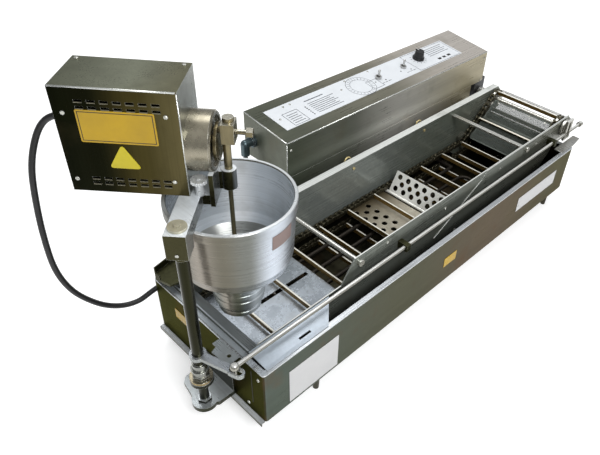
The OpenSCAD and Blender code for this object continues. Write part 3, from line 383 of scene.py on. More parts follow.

# Kettle: the tone that runs along the front is painted reflection, and the darker left wall and darker
# inside of the tank are painted shade.
kettle_front_tone = painted_light_along(
    X, 0, 880, (0.0, srgb(88, 96, 91)), (0.35, srgb(91, 91, 82)), (0.65, srgb(104, 94, 87)),
    (1.0, srgb(90, 87, 76)))
kettle_wall_tone = shade_by_face(kettle_front_tone, (LEFT, srgb(56, 56, 34)))
kettle_tone = inside(kettle_wall_tone, TANK_LO, TANK_HI, srgb(58, 56, 44))
kettle_steel = metal(
    "kettle_steel", kettle_tone, rough=0.34, brush=BRUSH_X, groove=0.1, contrast=0.1,
    stain=srgb(112, 84, 64), share=0.22, edge_highlight=DIM_GLINT, metallic=0.95, sheen_band=0.07,
    grazing=(0.45, 0.45, 0.38, 1.0))
rim_steel = metal(
    "rim_steel", srgb(200, 204, 208), rough=0.26, brush=BRUSH_X, groove=0.1, contrast=0.1,
    stain=srgb(136, 130, 112), share=0.2, edge_highlight=GLINT)
foot_steel = metal(
    "foot_steel", srgb(62, 60, 48), rough=0.45, brush=BRUSH_Z, groove=0.2, contrast=0.15, stain=GRIME,
    share=0.3, edge_highlight=srgb(120, 118, 104))
heater_sheath = metal(
    "heater_sheath", srgb(52, 48, 42), rough=0.5, brush=GRAIN, groove=0.3, contrast=0.15,
    stain=srgb(30, 24, 18), share=0.4)
# Control box: the tones that run along the front and the sloping panel are painted reflection, and the
# left end's tone, set by the way it faces, is painted light.
case_front_tone = painted_light_along(
    X, 279, 830, (0.0, srgb(80, 86, 72)), (0.25, srgb(104, 107, 96)), (0.55, srgb(188, 186, 178)),
    (1.0, srgb(152, 143, 116)))
case_tone = shade_by_face(case_front_tone, (LEFT, srgb(96, 100, 86)))
case_steel = metal(
    "case_steel", case_tone, rough=0.32, brush=BRUSH_X, groove=0.1, contrast=0.09,
    stain=srgb(92, 86, 64), share=0.2, edge_highlight=GLINT, metallic=0.45, sheen_band=0.1)
panel_tone = painted_light_along(
    X, 279, 830, (0.0, srgb(76, 80, 67)), (0.5, srgb(116, 114, 100)), (0.8, srgb(176, 170, 160)),
    (1.0, srgb(190, 184, 176)))
panel_steel = metal(
    "panel_steel", panel_tone, rough=0.3, brush=BRUSH_X, groove=0.1, contrast=0.1,
    stain=srgb(96, 92, 74), share=0.15, edge_highlight=GLINT, metallic=0.5, sheen_band=0.08)
# Motor box: the tones that run across the top and the front are painted reflection and shade, and the
# lighter top and right side are painted light.
box_top_tone = painted_light_along(
    HEAD_RIGHT, -231, -92, (0.0, srgb(98, 101, 82)), (0.55, srgb(128, 131, 112)),
    (1.0, srgb(108, 106, 82)))
box_front_tone = painted_light_along(
    HEAD_RIGHT, -231, -92, (0.0, srgb(13, 15, 5)), (0.3, srgb(18, 19, 8)), (0.65, srgb(58, 52, 26)),
    (1.0, srgb(86, 79, 52)))
box_tone = shade_by_face(box_front_tone, (UP, box_top_tone), (HEAD_RIGHT, srgb(140, 143, 136)))
box_steel = metal(
    "box_steel", box_tone, rough=0.3, brush=BRUSH_Z, groove=0.12, contrast=0.14, stain=srgb(46, 40, 22),
    share=0.18, edge_highlight=DIM_GLINT, metallic=face_value(1.0, UP, 0.75), sheen_band=0.1)
overlay_white = plastic(
    "overlay_white", srgb(212, 216, 220), rough=0.42, grain=700.0, grain_depth=0.03, speck=0.03)
knob_black = plastic(
    "knob_black", srgb(18, 18, 19), rough=0.38, grain=700.0, grain_depth=0.12, speck=0.15,
    edge_highlight=srgb(60, 60, 62))
switch_chrome = metal(
    "switch_chrome", srgb(190, 190, 188), rough=0.16, brush=GRAIN, groove=0.03, contrast=0.06,
    stain=GRIME, share=0.12, edge_highlight=GLINT, edge_mm=0.4)
inner_dark = plastic("inner_dark", srgb(44, 44, 46), rough=0.55)
motor_dark = plastic(
    "motor_dark", srgb(40, 40, 40), rough=0.45, grain=380.0, grain_depth=0.2, speck=0.15,
    edge_highlight=srgb(90, 90, 88))
# The lighter tops of the shafts are painted highlight.
shaft_steel = metal(
    "shaft_steel", shade_by_face(srgb(170, 168, 158), (UP, srgb(222, 222, 216))), rough=0.24, brush=BRUSH_Y,
    groove=0.1, contrast=0.1, stain=OIL, share=0.16, edge_highlight=GLINT)
chain_steel = metal(
    "chain_steel", srgb(64, 60, 45), rough=0.34, brush=GRAIN, groove=0.15, contrast=0.2,
    stain=srgb(30, 26, 16), share=0.35, edge_highlight=srgb(184, 178, 152), edge_mm=0.6)
# The near-white tops of the flights are painted highlight.
flight_steel = metal(
    "flight_steel", shade_by_face(srgb(136, 110, 60), (UP, srgb(232, 230, 220))), rough=0.26, brush=BRUSH_Y,
    groove=0.08, contrast=0.1, stain=OIL, share=0.12, edge_highlight=srgb(206, 198, 172), edge_mm=0.4,
    metallic=face_value(0.6, UP, 0.2))
# Side plates: the tones that run along them are painted reflection, and the near-white tops are painted
# light.
frame_side_tone = painted_light_along(
    X, 200, 930, (0.0, srgb(124, 129, 121)), (0.5, srgb(118, 122, 114)), (1.0, srgb(106, 106, 94)))
frame_tone = shade_by_face(frame_side_tone, (UP, srgb(222, 224, 220)))
frame_steel = metal(
    "frame_steel", frame_tone, rough=0.3, brush=BRUSH_X, groove=0.12, contrast=0.12,
    stain=srgb(84, 78, 56), share=0.24, edge_highlight=DIM_GLINT, metallic=face_value(0.5, UP, 0.15), sheen_band=0.1)
rear_side_tone = painted_light_along(
    X, 200, 930, (0.0, srgb(142, 148, 142)), (0.3, srgb(136, 142, 138)), (0.65, srgb(112, 118, 108)),
    (1.0, srgb(122, 125, 114)))
rear_tone = shade_by_face(rear_side_tone, (UP, srgb(222, 225, 222)))
rear_steel = metal(
    "rear_steel", rear_tone, rough=0.26, brush=BRUSH_X, groove=0.1, contrast=0.1,
    stain=srgb(84, 82, 64), share=0.24, edge_highlight=DIM_GLINT, metallic=face_value(0.4, UP, 0.1), sheen_band=0.14)
drop_steel = metal(
    "drop_steel", srgb(172, 180, 188), rough=0.26, brush=GRAIN, groove=0.06, contrast=0.06,
    stain=srgb(118, 118, 108), share=0.18, edge_highlight=GLINT, metallic=0.7, blotch=26.0)
# The lighter upward faces of the end plate and the feed guard are painted light.
end_steel = metal(
    "end_steel", shade_by_face(srgb(96, 99, 93), (UP, srgb(158, 165, 170))), rough=0.3, brush=BRUSH_Y,
    groove=0.12, contrast=0.12, stain=srgb(90, 86, 70), share=0.2, edge_highlight=GLINT,
    metallic=face_value(0.7, UP, 0.35))
guard_steel = metal(
    "guard_steel", shade_by_face(srgb(150, 158, 164), (UP, srgb(178, 188, 198))), rough=0.42, brush=GRAIN,
    groove=0.06, contrast=0.08, stain=srgb(150, 152, 148), share=0.2, edge_highlight=GLINT, metallic=0.3)
mesh_steel = metal(
    "mesh_steel", srgb(92, 98, 92), rough=0.5, brush=GRAIN, groove=0.1, contrast=0.14,
    stain=srgb(72, 74, 58), share=0.3, metallic=0.5)
lip_steel = metal(
    "lip_steel", srgb(186, 186, 182), rough=0.28, brush=BRUSH_Y, groove=0.1, contrast=0.1, stain=OIL,
    share=0.18, edge_highlight=GLINT)
turner_steel = metal(
    "turner_steel", srgb(238, 238, 232), rough=0.36, brush=GRAIN, groove=0.06, contrast=0.05,
    stain=srgb(190, 180, 154), share=0.2, edge_highlight=srgb(248, 248, 244), edge_mm=0.4, metallic=0.2)
# Turner bed: lighter at the front, darker and browner at the back; painted shade with some stain colour
# in it.
bed_tone = painted_light_along(
    Y, 46, 230, (0.0, srgb(222, 223, 218)), (0.45, srgb(176, 170, 154)), (1.0, srgb(92, 82, 60)))
bed_steel = metal(
    "bed_steel", bed_tone, rough=0.34, brush=GRAIN, groove=0.08, contrast=0.12, stain=srgb(104, 84, 56),
    share=0.3, edge_highlight=DIM_GLINT, edge_mm=0.4, metallic=0.3)
guide_dark = plastic(
    "guide_dark", srgb(74, 74, 64), rough=0.45, grain=500.0, grain_depth=0.1, speck=0.15,
    edge_highlight=srgb(130, 130, 118))
pin_chrome = metal(
    "pin_chrome", srgb(226, 206, 150), rough=0.2, brush=GRAIN, groove=0.04, contrast=0.06, stain=OIL,
    share=0.15, edge_highlight=GLINT, edge_mm=0.4, metallic=0.5)
# Tongue, lever and connecting rod: the lighter tops and darker sides are painted light and shade.
tongue_steel = metal(
    "tongue_steel", shade_by_face(srgb(48, 50, 36), (UP, srgb(174, 180, 182))), rough=0.28, brush=BRUSH_Y,
    groove=0.1, contrast=0.1, stain=srgb(96, 90, 70), share=0.2, edge_highlight=DIM_GLINT,
    metallic=face_value(0.95, UP, 0.6))
lever_steel = metal(
    "lever_steel", shade_by_face(srgb(150, 154, 152), (UP, srgb(204, 208, 212))), rough=0.26, brush=BRUSH_Y,
    groove=0.1, contrast=0.1, stain=srgb(96, 90, 70), share=0.2, edge_highlight=GLINT)
rod_steel = metal(
    "rod_steel", shade_by_face(srgb(150, 148, 138), (UP, srgb(226, 226, 222))), rough=0.22, brush=BRUSH_X,
    groove=0.06, contrast=0.08, stain=OIL, share=0.12, edge_highlight=GLINT, edge_mm=0.4,
    metallic=face_value(0.8, UP, 0.4))
collar_tone = inside(srgb(36, 36, 21), COLLAR_LO, COLLAR_HI, srgb(150, 152, 146))
column_tone = inside(collar_tone, COLLAR_LO, COLLAR_FOOT_HI, srgb(150, 132, 92))
column_dark = metal(
    "column_dark", column_tone, rough=0.2, brush=BRUSH_Z, groove=0.12, contrast=0.2,
    stain=srgb(22, 20, 11), share=0.3, edge_highlight=GLINT, edge_mm=0.8, metallic=0.95)
# Post and arm: the lighter tops are painted light, and the arm's darker front is painted shade.
post_dark = metal(
    "post_dark", shade_by_face(srgb(34, 36, 24), (UP, srgb(186, 192, 194))), rough=0.26, brush=BRUSH_Z,
    groove=0.1, contrast=0.16, stain=srgb(24, 24, 16), share=0.2, edge_highlight=DIM_GLINT, edge_mm=0.8,
    metallic=face_value(0.95, UP, 0.6))
cast_tone = shade_by_face(srgb(150, 154, 155), (UP, srgb(226, 232, 236)), (HEAD_FRONT, srgb(58, 56, 34)))
cast_alu = metal(
    "cast_alu", cast_tone, rough=0.3, brush=BRUSH_Y, groove=0.1, contrast=0.1,
    stain=srgb(126, 124, 112), share=0.2, edge_highlight=GLINT, edge_mm=0.8, metallic=face_value(0.9, UP, 0.25))
knurl_alu = metal(
    "knurl_alu", srgb(212, 215, 216), rough=0.26, brush=GRAIN, groove=0.1, contrast=0.08,
    stain=srgb(120, 116, 100), share=0.2, edge_highlight=GLINT, metallic=0.5)
cap_brass = metal(
    "cap_brass", srgb(186, 182, 160), rough=0.34, brush=GRAIN, groove=0.14, contrast=0.14,
    stain=srgb(110, 102, 74), share=0.35, edge_highlight=GLINT, metallic=0.5)
# The drum's darker end face is painted shade.
drum_alu = metal(
    "drum_alu", shade_by_face(srgb(150, 144, 127), (HEAD_RIGHT, srgb(112, 108, 94))), rough=0.24, brush=GRAIN,
    groove=0.1, contrast=0.08, stain=srgb(110, 102, 84), share=0.2, edge_highlight=GLINT, edge_mm=0.8, sheen_band=0.08)
crank_steel = metal(
    "crank_steel", srgb(112, 102, 74), rough=0.22, brush=BRUSH_Z, groove=0.1, contrast=0.2,
    stain=srgb(36, 32, 20), share=0.35, edge_highlight=srgb(220, 214, 190), edge_mm=0.8)
# The stem's lighter tops are painted highlight.
stem_steel = metal(
    "stem_steel", shade_by_face(srgb(120, 111, 84), (UP, srgb(210, 206, 190))), rough=0.18, brush=BRUSH_Z,
    groove=0.06, contrast=0.16, stain=srgb(36, 32, 22), share=0.28, edge_highlight=GLINT)
# Hopper and outlet: the bright and dark streaks round the wall and inside are painted reflections and
# highlights, and the lighter rim top is painted light.
hopper_wall_tone = sheen_round_axis(
    HOPPER, (0.0, srgb(70, 72, 55)), (0.055, srgb(160, 152, 140)), (0.12, srgb(106, 102, 88)),
    (0.18, srgb(110, 112, 106)), (0.25, srgb(200, 208, 218)), (0.34, srgb(128, 132, 136)),
    (0.6, srgb(112, 112, 104)), (1.0, srgb(70, 72, 55)))
hopper_inner_tone = sheen_round_axis(
    HOPPER, (0.0, srgb(186, 192, 198)), (0.4, srgb(196, 203, 208)), (0.56, srgb(206, 214, 222)),
    (0.63, srgb(240, 243, 246)), (0.7, srgb(190, 197, 203)), (1.0, srgb(186, 192, 198)))
hopper_tone = inward(hopper_wall_tone, HOPPER, hopper_inner_tone)
hopper_alu = metal(
    "hopper_alu", shade_by_face(hopper_tone, (UP, srgb(214, 218, 220))), rough=0.28, brush=RINGS_Z,
    groove=0.28, contrast=0.12, stain=srgb(128, 124, 108), share=0.1, edge_highlight=GLINT,
    metallic=inward_value(0.5, HOPPER, 0.15), turned=True)
outlet_tone = sheen_round_axis(
    HOPPER, (0.0, srgb(104, 110, 104)), (0.07, srgb(150, 144, 132)), (0.14, srgb(88, 90, 74)),
    (0.19, srgb(116, 122, 122)), (0.26, srgb(206, 214, 220)), (0.4, srgb(150, 158, 164)),
    (1.0, srgb(104, 110, 104)))
outlet_alu = metal(
    "outlet_alu", outlet_tone, rough=0.24, brush=RINGS_Z, groove=0.3, contrast=0.14,
    stain=srgb(110, 106, 90), share=0.12, edge_highlight=GLINT, metallic=0.5, turned=True)
tray_dark = metal(
    "tray_dark", srgb(62, 62, 38), rough=0.38, brush=GRAIN, groove=0.2, contrast=0.2,
    stain=srgb(26, 24, 16), share=0.3, edge_highlight=srgb(150, 150, 132))
elbow_grey = metal(
    "elbow_grey", srgb(84, 98, 102), rough=0.3, brush=GRAIN, groove=0.1, contrast=0.15,
    stain=srgb(40, 44, 44), share=0.3, edge_highlight=DIM_GLINT, edge_mm=0.8)
gland_black = plastic("gland_black", srgb(24, 24, 25), rough=0.5)
cord_black = plastic(
    "cord_black", srgb(11, 11, 12), rough=0.48, grain=420.0, grain_depth=0.16, speck=0.2)
plate_white = plastic(
    "plate_white", srgb(206, 206, 206), rough=0.4, grain=500.0, grain_depth=0.02, speck=0.05)
plate_yellow = plastic(
    "plate_yellow", srgb(188, 152, 20), rough=0.42, grain=500.0, grain_depth=0.02, speck=0.12)
plate_lemon = plastic(
    "plate_lemon", srgb(206, 190, 32), rough=0.42, grain=500.0, grain_depth=0.02, speck=0.1)
plate_rust = plastic(
    "plate_rust", srgb(134, 112, 106), rough=0.4, grain=500.0, grain_depth=0.02, speck=0.16)
print_grey = plastic(
    "print_grey", srgb(92, 96, 102), rough=0.5, grain=500.0, grain_depth=0.02, speck=0.12)
print_dark = plastic(
    "print_dark", srgb(34, 34, 34), rough=0.5, grain=500.0, grain_depth=0.02, speck=0.12)
seam_dark = plastic("seam_dark", srgb(26, 25, 18), rough=0.6, grain=500.0, grain_depth=0.05, speck=0.12)
screw_steel = metal(
    "screw_steel", srgb(198, 198, 190), rough=0.24, brush=GRAIN, groove=0.06, contrast=0.06,
    stain=GRIME, share=0.15, edge_highlight=GLINT, edge_mm=0.3)
louvre_steel = metal(
    "louvre_steel", srgb(150, 144, 120), rough=0.28, brush=GRAIN, groove=0.06, contrast=0.1,
    stain=GRIME, share=0.2, edge_highlight=DIM_GLINT, edge_mm=0.2)
# A bright colour for the folds along the box edges: a painted highlight.
fold_glint_steel = metal(
    "fold_glint_steel", srgb(222, 224, 220), rough=0.22, brush=BRUSH_X, groove=0.06, contrast=0.06,
    stain=srgb(150, 148, 136), share=0.15)
# The flange's lighter top and darker sides are painted light and shade.
flange_steel = metal(
    "flange_steel", shade_by_face(srgb(54, 54, 34), (UP, srgb(206, 210, 212))), rough=0.26, brush=BRUSH_Y,
    groove=0.06, contrast=0.1, stain=GRIME, share=0.15, edge_highlight=GLINT, edge_mm=0.4,
    metallic=face_value(0.95, UP, 0.3))

DRESS = {
    "kettle": kettle_steel, "rim": rim_steel, "feet": foot_steel, "heater": heater_sheath,
    "thermo_bulb": shaft_steel, "hanger": case_steel, "ctl_shell": case_steel, "ctl_panel": panel_steel,
    "overlay": overlay_white, "knob": knob_black, "thermostat": inner_dark,
    "switch_bodies": switch_chrome, "toggle_1": switch_chrome, "toggle_2": switch_chrome,
    "control_gear": inner_dark, "pull_pin_1": pin_chrome, "pull_pin_2": pin_chrome,
    "drive_motor": motor_dark, "drive_shaft": shaft_steel, "coupling": shaft_steel,
    "rod_crank": shaft_steel, "tail_shaft": shaft_steel, "chain_front": chain_steel,
    "chain_rear": chain_steel, "flights": flight_steel, "side_front": frame_steel,
    "side_rear": rear_steel, "tie_rods": shaft_steel, "chain_guides": guide_dark,
    "drop_plate": drop_steel, "end_plate": end_steel, "feed_guard": guard_steel,
    "ramp_bars": mesh_steel, "mesh_panels": mesh_steel, "exit_lip": lip_steel, "turner": turner_steel,
    "turner_bed": bed_steel, "tongue": tongue_steel, "post": post_dark, "column": column_dark,
    "lever": lever_steel, "connecting_rod": rod_steel, "rod_guides": tray_dark, "arm": cast_alu,
    "column_cap": cap_brass, "clamp_knob": knurl_alu, "head_case": box_steel, "head_front": box_steel,
    "head_motor": motor_dark, "gear_drum": drum_alu, "crank": crank_steel, "plunger": stem_steel,
    "piston": outlet_alu, "hopper_bowl": hopper_alu, "outlet": outlet_alu, "drip_tray": tray_dark,
    "cord_elbow": elbow_grey, "cord_gland": gland_black, "cord": cord_black,
}
for node, material in DRESS.items():
    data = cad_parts[node].data
    data.materials.clear()
    data.materials.append(material)


# Mesh helpers

def finish_piece(name, bm, material, body, smooth=False):
    bmesh.ops.recalc_face_normals(bm, faces=bm.faces)
    data = bpy.data.meshes.new(name)
    bm.to_mesh(data)
    bm.free()
    if smooth:
        for polygon in data.polygons:
            polygon.use_smooth = True
    data.materials.append(material)
    piece = bpy.data.objects.new(name, data)
    scene.collection.objects.link(piece)
    if body is not None:
        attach(piece, body)
    return piece


def add_box(bm, lo, hi, matrix=ROOT, bevel=0.0):
    """A box between two corners in millimetres, with its edges rounded off."""
    lo, hi = Vector(lo) * MM, Vector(hi) * MM
    made = bmesh.ops.create_cube(bm, size=1.0)["verts"]
    for v in made:
        v.co = Vector(((lo[i] + hi[i]) / 2 + v.co[i] * (hi[i] - lo[i])) for i in range(3))
    if bevel:
        edges = list({e for v in made for e in v.link_edges})
        made = bmesh.ops.bevel(bm, geom=edges, offset=bevel * MM, segments=2, affect="EDGES",
                               profile=0.5)["verts"]
    bmesh.ops.transform(bm, matrix=matrix, verts=made)


def add_turned(bm, profile, matrix, sides):
    """A turned piece: profile is a list of (radius, height) in millimetres along the local Z."""
    rings = []
    for r, h in profile:
        turns = [2 * math.pi * i / sides for i in range(sides)] if r > 0 else [0.0]
        points = [Vector((r * math.cos(a), r * math.sin(a), h)) * MM for a in turns]
        rings.append([bm.verts.new(matrix @ p) for p in points])
    for a, b in zip(rings, rings[1:]):
        for i in range(sides):
            j = (i + 1) % sides
            quad = [a[i % len(a)], a[j % len(a)], b[j % len(b)], b[i % len(b)]]
            quad = [v for k, v in enumerate(quad) if v not in quad[:k]]
            if len(quad) > 2:
                bm.faces.new(quad)
    for ring in (rings[0], rings[-1]):
        if len(ring) > 2:
            bm.faces.new(ring)


def add_section(bm, profile, length, matrix):
    """A strip with the given section, in local Y and Z, drawn out along the local X."""
    ends = [[bm.verts.new(matrix @ (Vector((x, y, z)) * MM)) for y, z in profile] for x in (0, length)]
    n = len(profile)
    for i in range(n):
        j = (i + 1) % n
        bm.faces.new([ends[0][i], ends[0][j], ends[1][j], ends[1][i]])
    bm.faces.new(ends[0])
    bm.faces.new(ends[1])


def facing(position, normal):
    """A matrix that puts local Z along a normal at a place in the model."""
    return Matrix.Translation(position) @ Vector(normal).to_track_quat("Z", "Y").to_matrix().to_4x4()


def add_screw(bm, matrix, r, spin):
    """A pan head with a straight slot: a low washer-like foot and two half domes."""
    add_turned(bm, [(r, 0), (r, 0.25 * r), (0.94 * r, 0.4 * r)], matrix, 16)
    for side in (0, math.pi):
        turn = matrix @ Matrix.Rotation(spin + side, 4, "Z")
        angles = [math.radians(12 + 156 * i / 8) for i in range(9)]
        arc = [Vector((0.9 * r * math.cos(a), 0.9 * r * math.sin(a), 0.4 * r)) for a in angles]
        low = [bm.verts.new(turn @ (p * MM)) for p in arc]
        crown = [Vector((p.x * 0.62, 0.12 * r + (p.y - 0.12 * r) * 0.62, 0.66 * r)) for p in arc]
        high = [bm.verts.new(turn @ (p * MM)) for p in crown]
        n = len(arc)
        for i in range(n):
            j = (i + 1) % n
            bm.faces.new([low[i], low[j], high[j], high[i]])
        bm.faces.new(high)


def screw_set(name, body, places, r):
    bm = bmesh.new()
    for k, matrix in enumerate(places):
        add_screw(bm, matrix, r, 0.7 + 1.3 * k)
    return finish_piece(name, bm, screw_steel, body)


def add_tube(bm, line, r, sides):
    """A tube along a line, with each ring carried over from the one before so that it does not twist."""
    first = (line[1] - line[0]).normalized()
    side = (Vector((0, 0, 1)) if abs(first.z) < 0.9 else Vector((0, 1, 0))).cross(first).normalized()
    rings = []
    for k, p in enumerate(line):
        d = (line[min(k + 1, len(line) - 1)] - line[max(k - 1, 0)]).normalized()
        side = (side - d * side.dot(d)).normalized()
        other = d.cross(side)
        turns = [2 * math.pi * i / sides for i in range(sides)]
        rings.append([bm.verts.new(p + r * (math.cos(a) * side + math.sin(a) * other)) for a in turns])
    for a, b in zip(rings, rings[1:]):
        for i in range(sides):
            j = (i + 1) % sides
            bm.faces.new([a[i], a[j], b[j], b[i]])
    bm.faces.new(rings[0])
    bm.faces.new(rings[-1])


def add_plate(bm, outline, thickness, matrix):
    """A flat plate with a given outline in local X and Y, in millimetres."""
    low = [bm.verts.new(matrix @ (Vector((x, y, 0)) * MM)) for x, y in outline]
    high = [bm.verts.new(matrix @ (Vector((x, y, thickness)) * MM)) for x, y in outline]
    n = len(outline)
    for i in range(n):
        j = (i + 1) % n
        bm.faces.new([low[i], low[j], high[j], high[i]])
    bm.faces.new(high)
    bm.faces.new(low)


def rounded(points, r, steps=5):
    """A polygon with its corners rounded off."""
    outline = []
    n = len(points)
    for i in range(n):
        a, b, c = (Vector(points[(i + k) % n]) for k in (-1, 0, 1))
        p0 = b + (a - b).normalized() * r
        p2 = b + (c - b).normalized() * r
        for k in range(steps + 1):
            t = k / steps
            outline.append(tuple(p0 * (1 - t) ** 2 + b * 2 * t * (1 - t) + p2 * t * t))
    return outline


def label_plate(name, material, body, lo, hi):
    bm = bmesh.new()
    add_box(bm, lo, hi, ROOT, 0.25)
    return finish_piece(name, bm, material, body)


def add_bar(bm, matrix, x0, x1, y0, y1):
    """A printed bar on a flat place."""
    add_box(bm, (x0, y0, 0), (x1, y1, PRINT_H), matrix)


def add_dot(bm, r, x, d):
    """A printed dot on the overlay."""
    add_turned(bm, [(r, 0), (r, PRINT_H), (r - 0.3, 0.16)], panel_matrix(x, d, OVERLAY_TOP), 14)


def frame_lines(bm, x0, x1, y0, y1, wide, matrix):
    """Four thin bars round a rectangle."""
    for y in (y0, y1 - wide):
        add_bar(bm, matrix, x0, x1, y, y + wide)
    for x in (x0, x1 - wide):
        add_bar(bm, matrix, x, x + wide, y0, y1)


def spline(points, steps):
    """A smooth line through the points."""
    line = []
    n = len(points)
    for i in range(n - 1):
        a, b, c, d = points[max(i - 1, 0)], points[i], points[i + 1], points[min(i + 2, n - 1)]
        for j in range(steps):
            t = j / steps
            bend = (2 * a - 5 * b + 4 * c - d) * t * t + (3 * b - a - 3 * c + d) * t ** 3
            line.append(0.5 * (2 * b + (c - a) * t + bend))
    line.append(points[-1].copy())
    return line


# The camera was fitted to the photograph's edges; its frame is 600 by 455.

PHOTO_W, PHOTO_H = 600.0, 455.0
FOCAL_PX = 606.1
SENSOR = 36.0
CENTRE_PX = (360.0, 222.8)
EYE = at(-307.3, -406.3, 677.6)
SIGHT_RIGHT = Vector((0.68102, -0.72958, 0.06268)).normalized()
SIGHT = Vector((0.59627, 0.50282, -0.62581)).normalized()
SIGHT_UP = SIGHT_RIGHT.cross(SIGHT)
SIGHT_TURN = Matrix((SIGHT_RIGHT, SIGHT_UP, -SIGHT)).transposed().to_4x4()
lens = bpy.data.cameras.new("camera")
lens.sensor_fit = "HORIZONTAL"
lens.sensor_width = SENSOR
lens.lens = FOCAL_PX * SENSOR / PHOTO_W
lens.shift_x = (PHOTO_W / 2 - CENTRE_PX[0]) / PHOTO_W
lens.shift_y = (CENTRE_PX[1] - PHOTO_H / 2) / PHOTO_W
lens.clip_start, lens.clip_end = 0.02, 50.0
camera = bpy.data.objects.new("camera", lens)
camera.matrix_world = Matrix.Translation(EYE) @ SIGHT_TURN
scene.collection.objects.link(camera)
scene.camera = camera

# Cable: the route's points are those of the part's source, from the gland to the elbow

GLAND_U, GLAND_V, GLAND_Z = -138.0, 112.0, 303.0
ELBOW_LO, ELBOW_HI = size_mm("cord_elbow")
ELBOW = Vector((ELBOW_LO.x + 8.0, (ELBOW_LO.y + ELBOW_HI.y) / 2, ELBOW_HI.z - 12.0))
CORD_R = 4.2
cord_points = [
    head(GLAND_U - 7, GLAND_V, GLAND_Z),
    head(GLAND_U - 22, GLAND_V, GLAND_Z - 1),
    head(GLAND_U - 41, GLAND_V + 1, GLAND_Z - 11),
    at(-90, 304, 272), at(-103, 308, 237), at(-111, 309, 195), at(-118, 307, 130), at(-119, 303, 68),
    at(-107, 298, 20), at(-81, 291, -19), at(-54, 284, -39), at(-26, 278, -44),
    at(3, 274, -35), at(60, 271, -24), at(150, 272, -20), at(215, 282, -12), at(246, 310, 10),
    at(ELBOW.x - 1, ELBOW.y - 14, 38),
    at(ELBOW.x, ELBOW.y, ELBOW.z - 30),
    at(ELBOW.x, ELBOW.y, ELBOW.z - 13),
]

cord_line = spline(cord_points, 8)
bm = bmesh.new()
add_tube(bm, cord_line, CORD_R * MM, 14)
cable = finish_piece("cable", bm, cord_black, None, smooth=True)
# Along this slanting line, all of the cable from the loop's foot to the elbow stays with the kettle.
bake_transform(cable)
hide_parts("cord")

# Woven wire panels of the exit slope

SLOPE = Matrix.Translation(at(794.721, 0, -36.1338)) @ Matrix.Rotation(math.radians(-40.0178), 4, "Y")
SLOPE_L = 117.962
MESH_N = -5.65
MESH_Y0, MESH_Y1 = 63.2, 212.8
WIRE_R, WIRE_PITCH, CRIMP = 0.45, 1.7, 0.3
MESH_BORDER = 2.6
MESH_HALF = 0.75
WIRE_START, WIRE_SPARE = 2.2, 4.0
LOWER_END, UPPER_START, UPPER_END = 0.48 * SLOPE_L, 0.5 * SLOPE_L, 0.93 * SLOPE_L


def add_weave(bm, t0, t1):
    """Crimped wires both ways within a flat border."""
    count_t = int((t1 - t0 - WIRE_SPARE) / WIRE_PITCH) + 1
    count_y = int((MESH_Y1 - MESH_Y0 - WIRE_SPARE) / WIRE_PITCH) + 1
    ts = [t0 + WIRE_START + WIRE_PITCH * i for i in range(count_t)]
    ys = [MESH_Y0 + WIRE_START + WIRE_PITCH * j for j in range(count_y)]

    def crossing(i, j, over):
        lift = CRIMP if (i + j) % 2 else -CRIMP
        return SLOPE @ (Vector((ts[i], ys[j], MESH_N + over * lift)) * MM)

    for i in range(count_t):
        add_tube(bm, [crossing(i, j, 1) for j in range(count_y)], WIRE_R * MM, 4)
    for j in range(count_y):
        add_tube(bm, [crossing(i, j, -1) for i in range(count_t)], WIRE_R * MM, 4)
    w = MESH_BORDER
    for lo, hi in (((t0, MESH_Y0), (t0 + w, MESH_Y1)), ((t1 - w, MESH_Y0), (t1, MESH_Y1)),
                   ((t0, MESH_Y0), (t1, MESH_Y0 + w)), ((t0, MESH_Y1 - w), (t1, MESH_Y1))):
        add_box(bm, (lo[0], lo[1], MESH_N - MESH_HALF), (hi[0], hi[1], MESH_N + MESH_HALF), SLOPE, 0.2)


bm = bmesh.new()
add_weave(bm, 0.0, LOWER_END)
add_weave(bm, UPPER_START, UPPER_END)
weave = finish_piece("wire_mesh", bm, mesh_steel, "fryer")
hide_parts("mesh_panels")
bolts = [Vector((UPPER_END - 5, MESH_Y0 + d, MESH_N + MESH_HALF)) * MM for d in (14, 55, 95, 136)]
screw_set("mesh_bolts", "fryer", [SLOPE @ Matrix.Translation(p) for p in bolts], 2.2)

# Bare label plates, with nothing printed on them

label_plate("front_plate_left", plate_white, "fryer", (46, -0.7, -100), (146, 0, -30))
label_plate("front_plate_right", plate_white, "fryer", (667, -0.7, -68), (823, 0, -34))
label_plate("front_plate_mid", plate_yellow, "fryer", (418, -0.6, -66), (455, 0, -45))
label_plate("end_plate_label", plate_yellow, "fryer", (-0.6, 175, -46), (0, 211, -27))

# Motor box: plates, screws, louvres, and folds painted bright as a highlight

BOX_U0, BOX_U1 = -138.0, 1.0
BOX_Z0, BOX_Z1 = 230.0, 367.0
FRONT_V = 60.5
BOX_FACE = HEAD @ Matrix.Translation(Vector((0, FRONT_V, 0)) * MM) @ Matrix.Rotation(math.pi / 2, 4, "X")

bm = bmesh.new()
add_plate(bm, rounded([(-113.5, 299), (-26.5, 299), (-26.5, 340), (-113.5, 340)], 2.0), 0.6, BOX_FACE)
finish_piece("head_plate", bm, plate_yellow, "depositor")
bm = bmesh.new()
plate_face = BOX_FACE @ Matrix.Translation(Vector((0, 0, 0.6)) * MM)
frame_lines(bm, -111.5, -28.5, 301, 338, 0.9, plate_face)
finish_piece("head_plate_line", bm, print_dark, "depositor")
bm = bmesh.new()
add_plate(bm, rounded([(-88.5, 265.5), (-50.5, 265.5), (-69.5, 298)], 6.0), 0.6, BOX_FACE)
finish_piece("head_plate_small", bm, plate_lemon, "depositor")

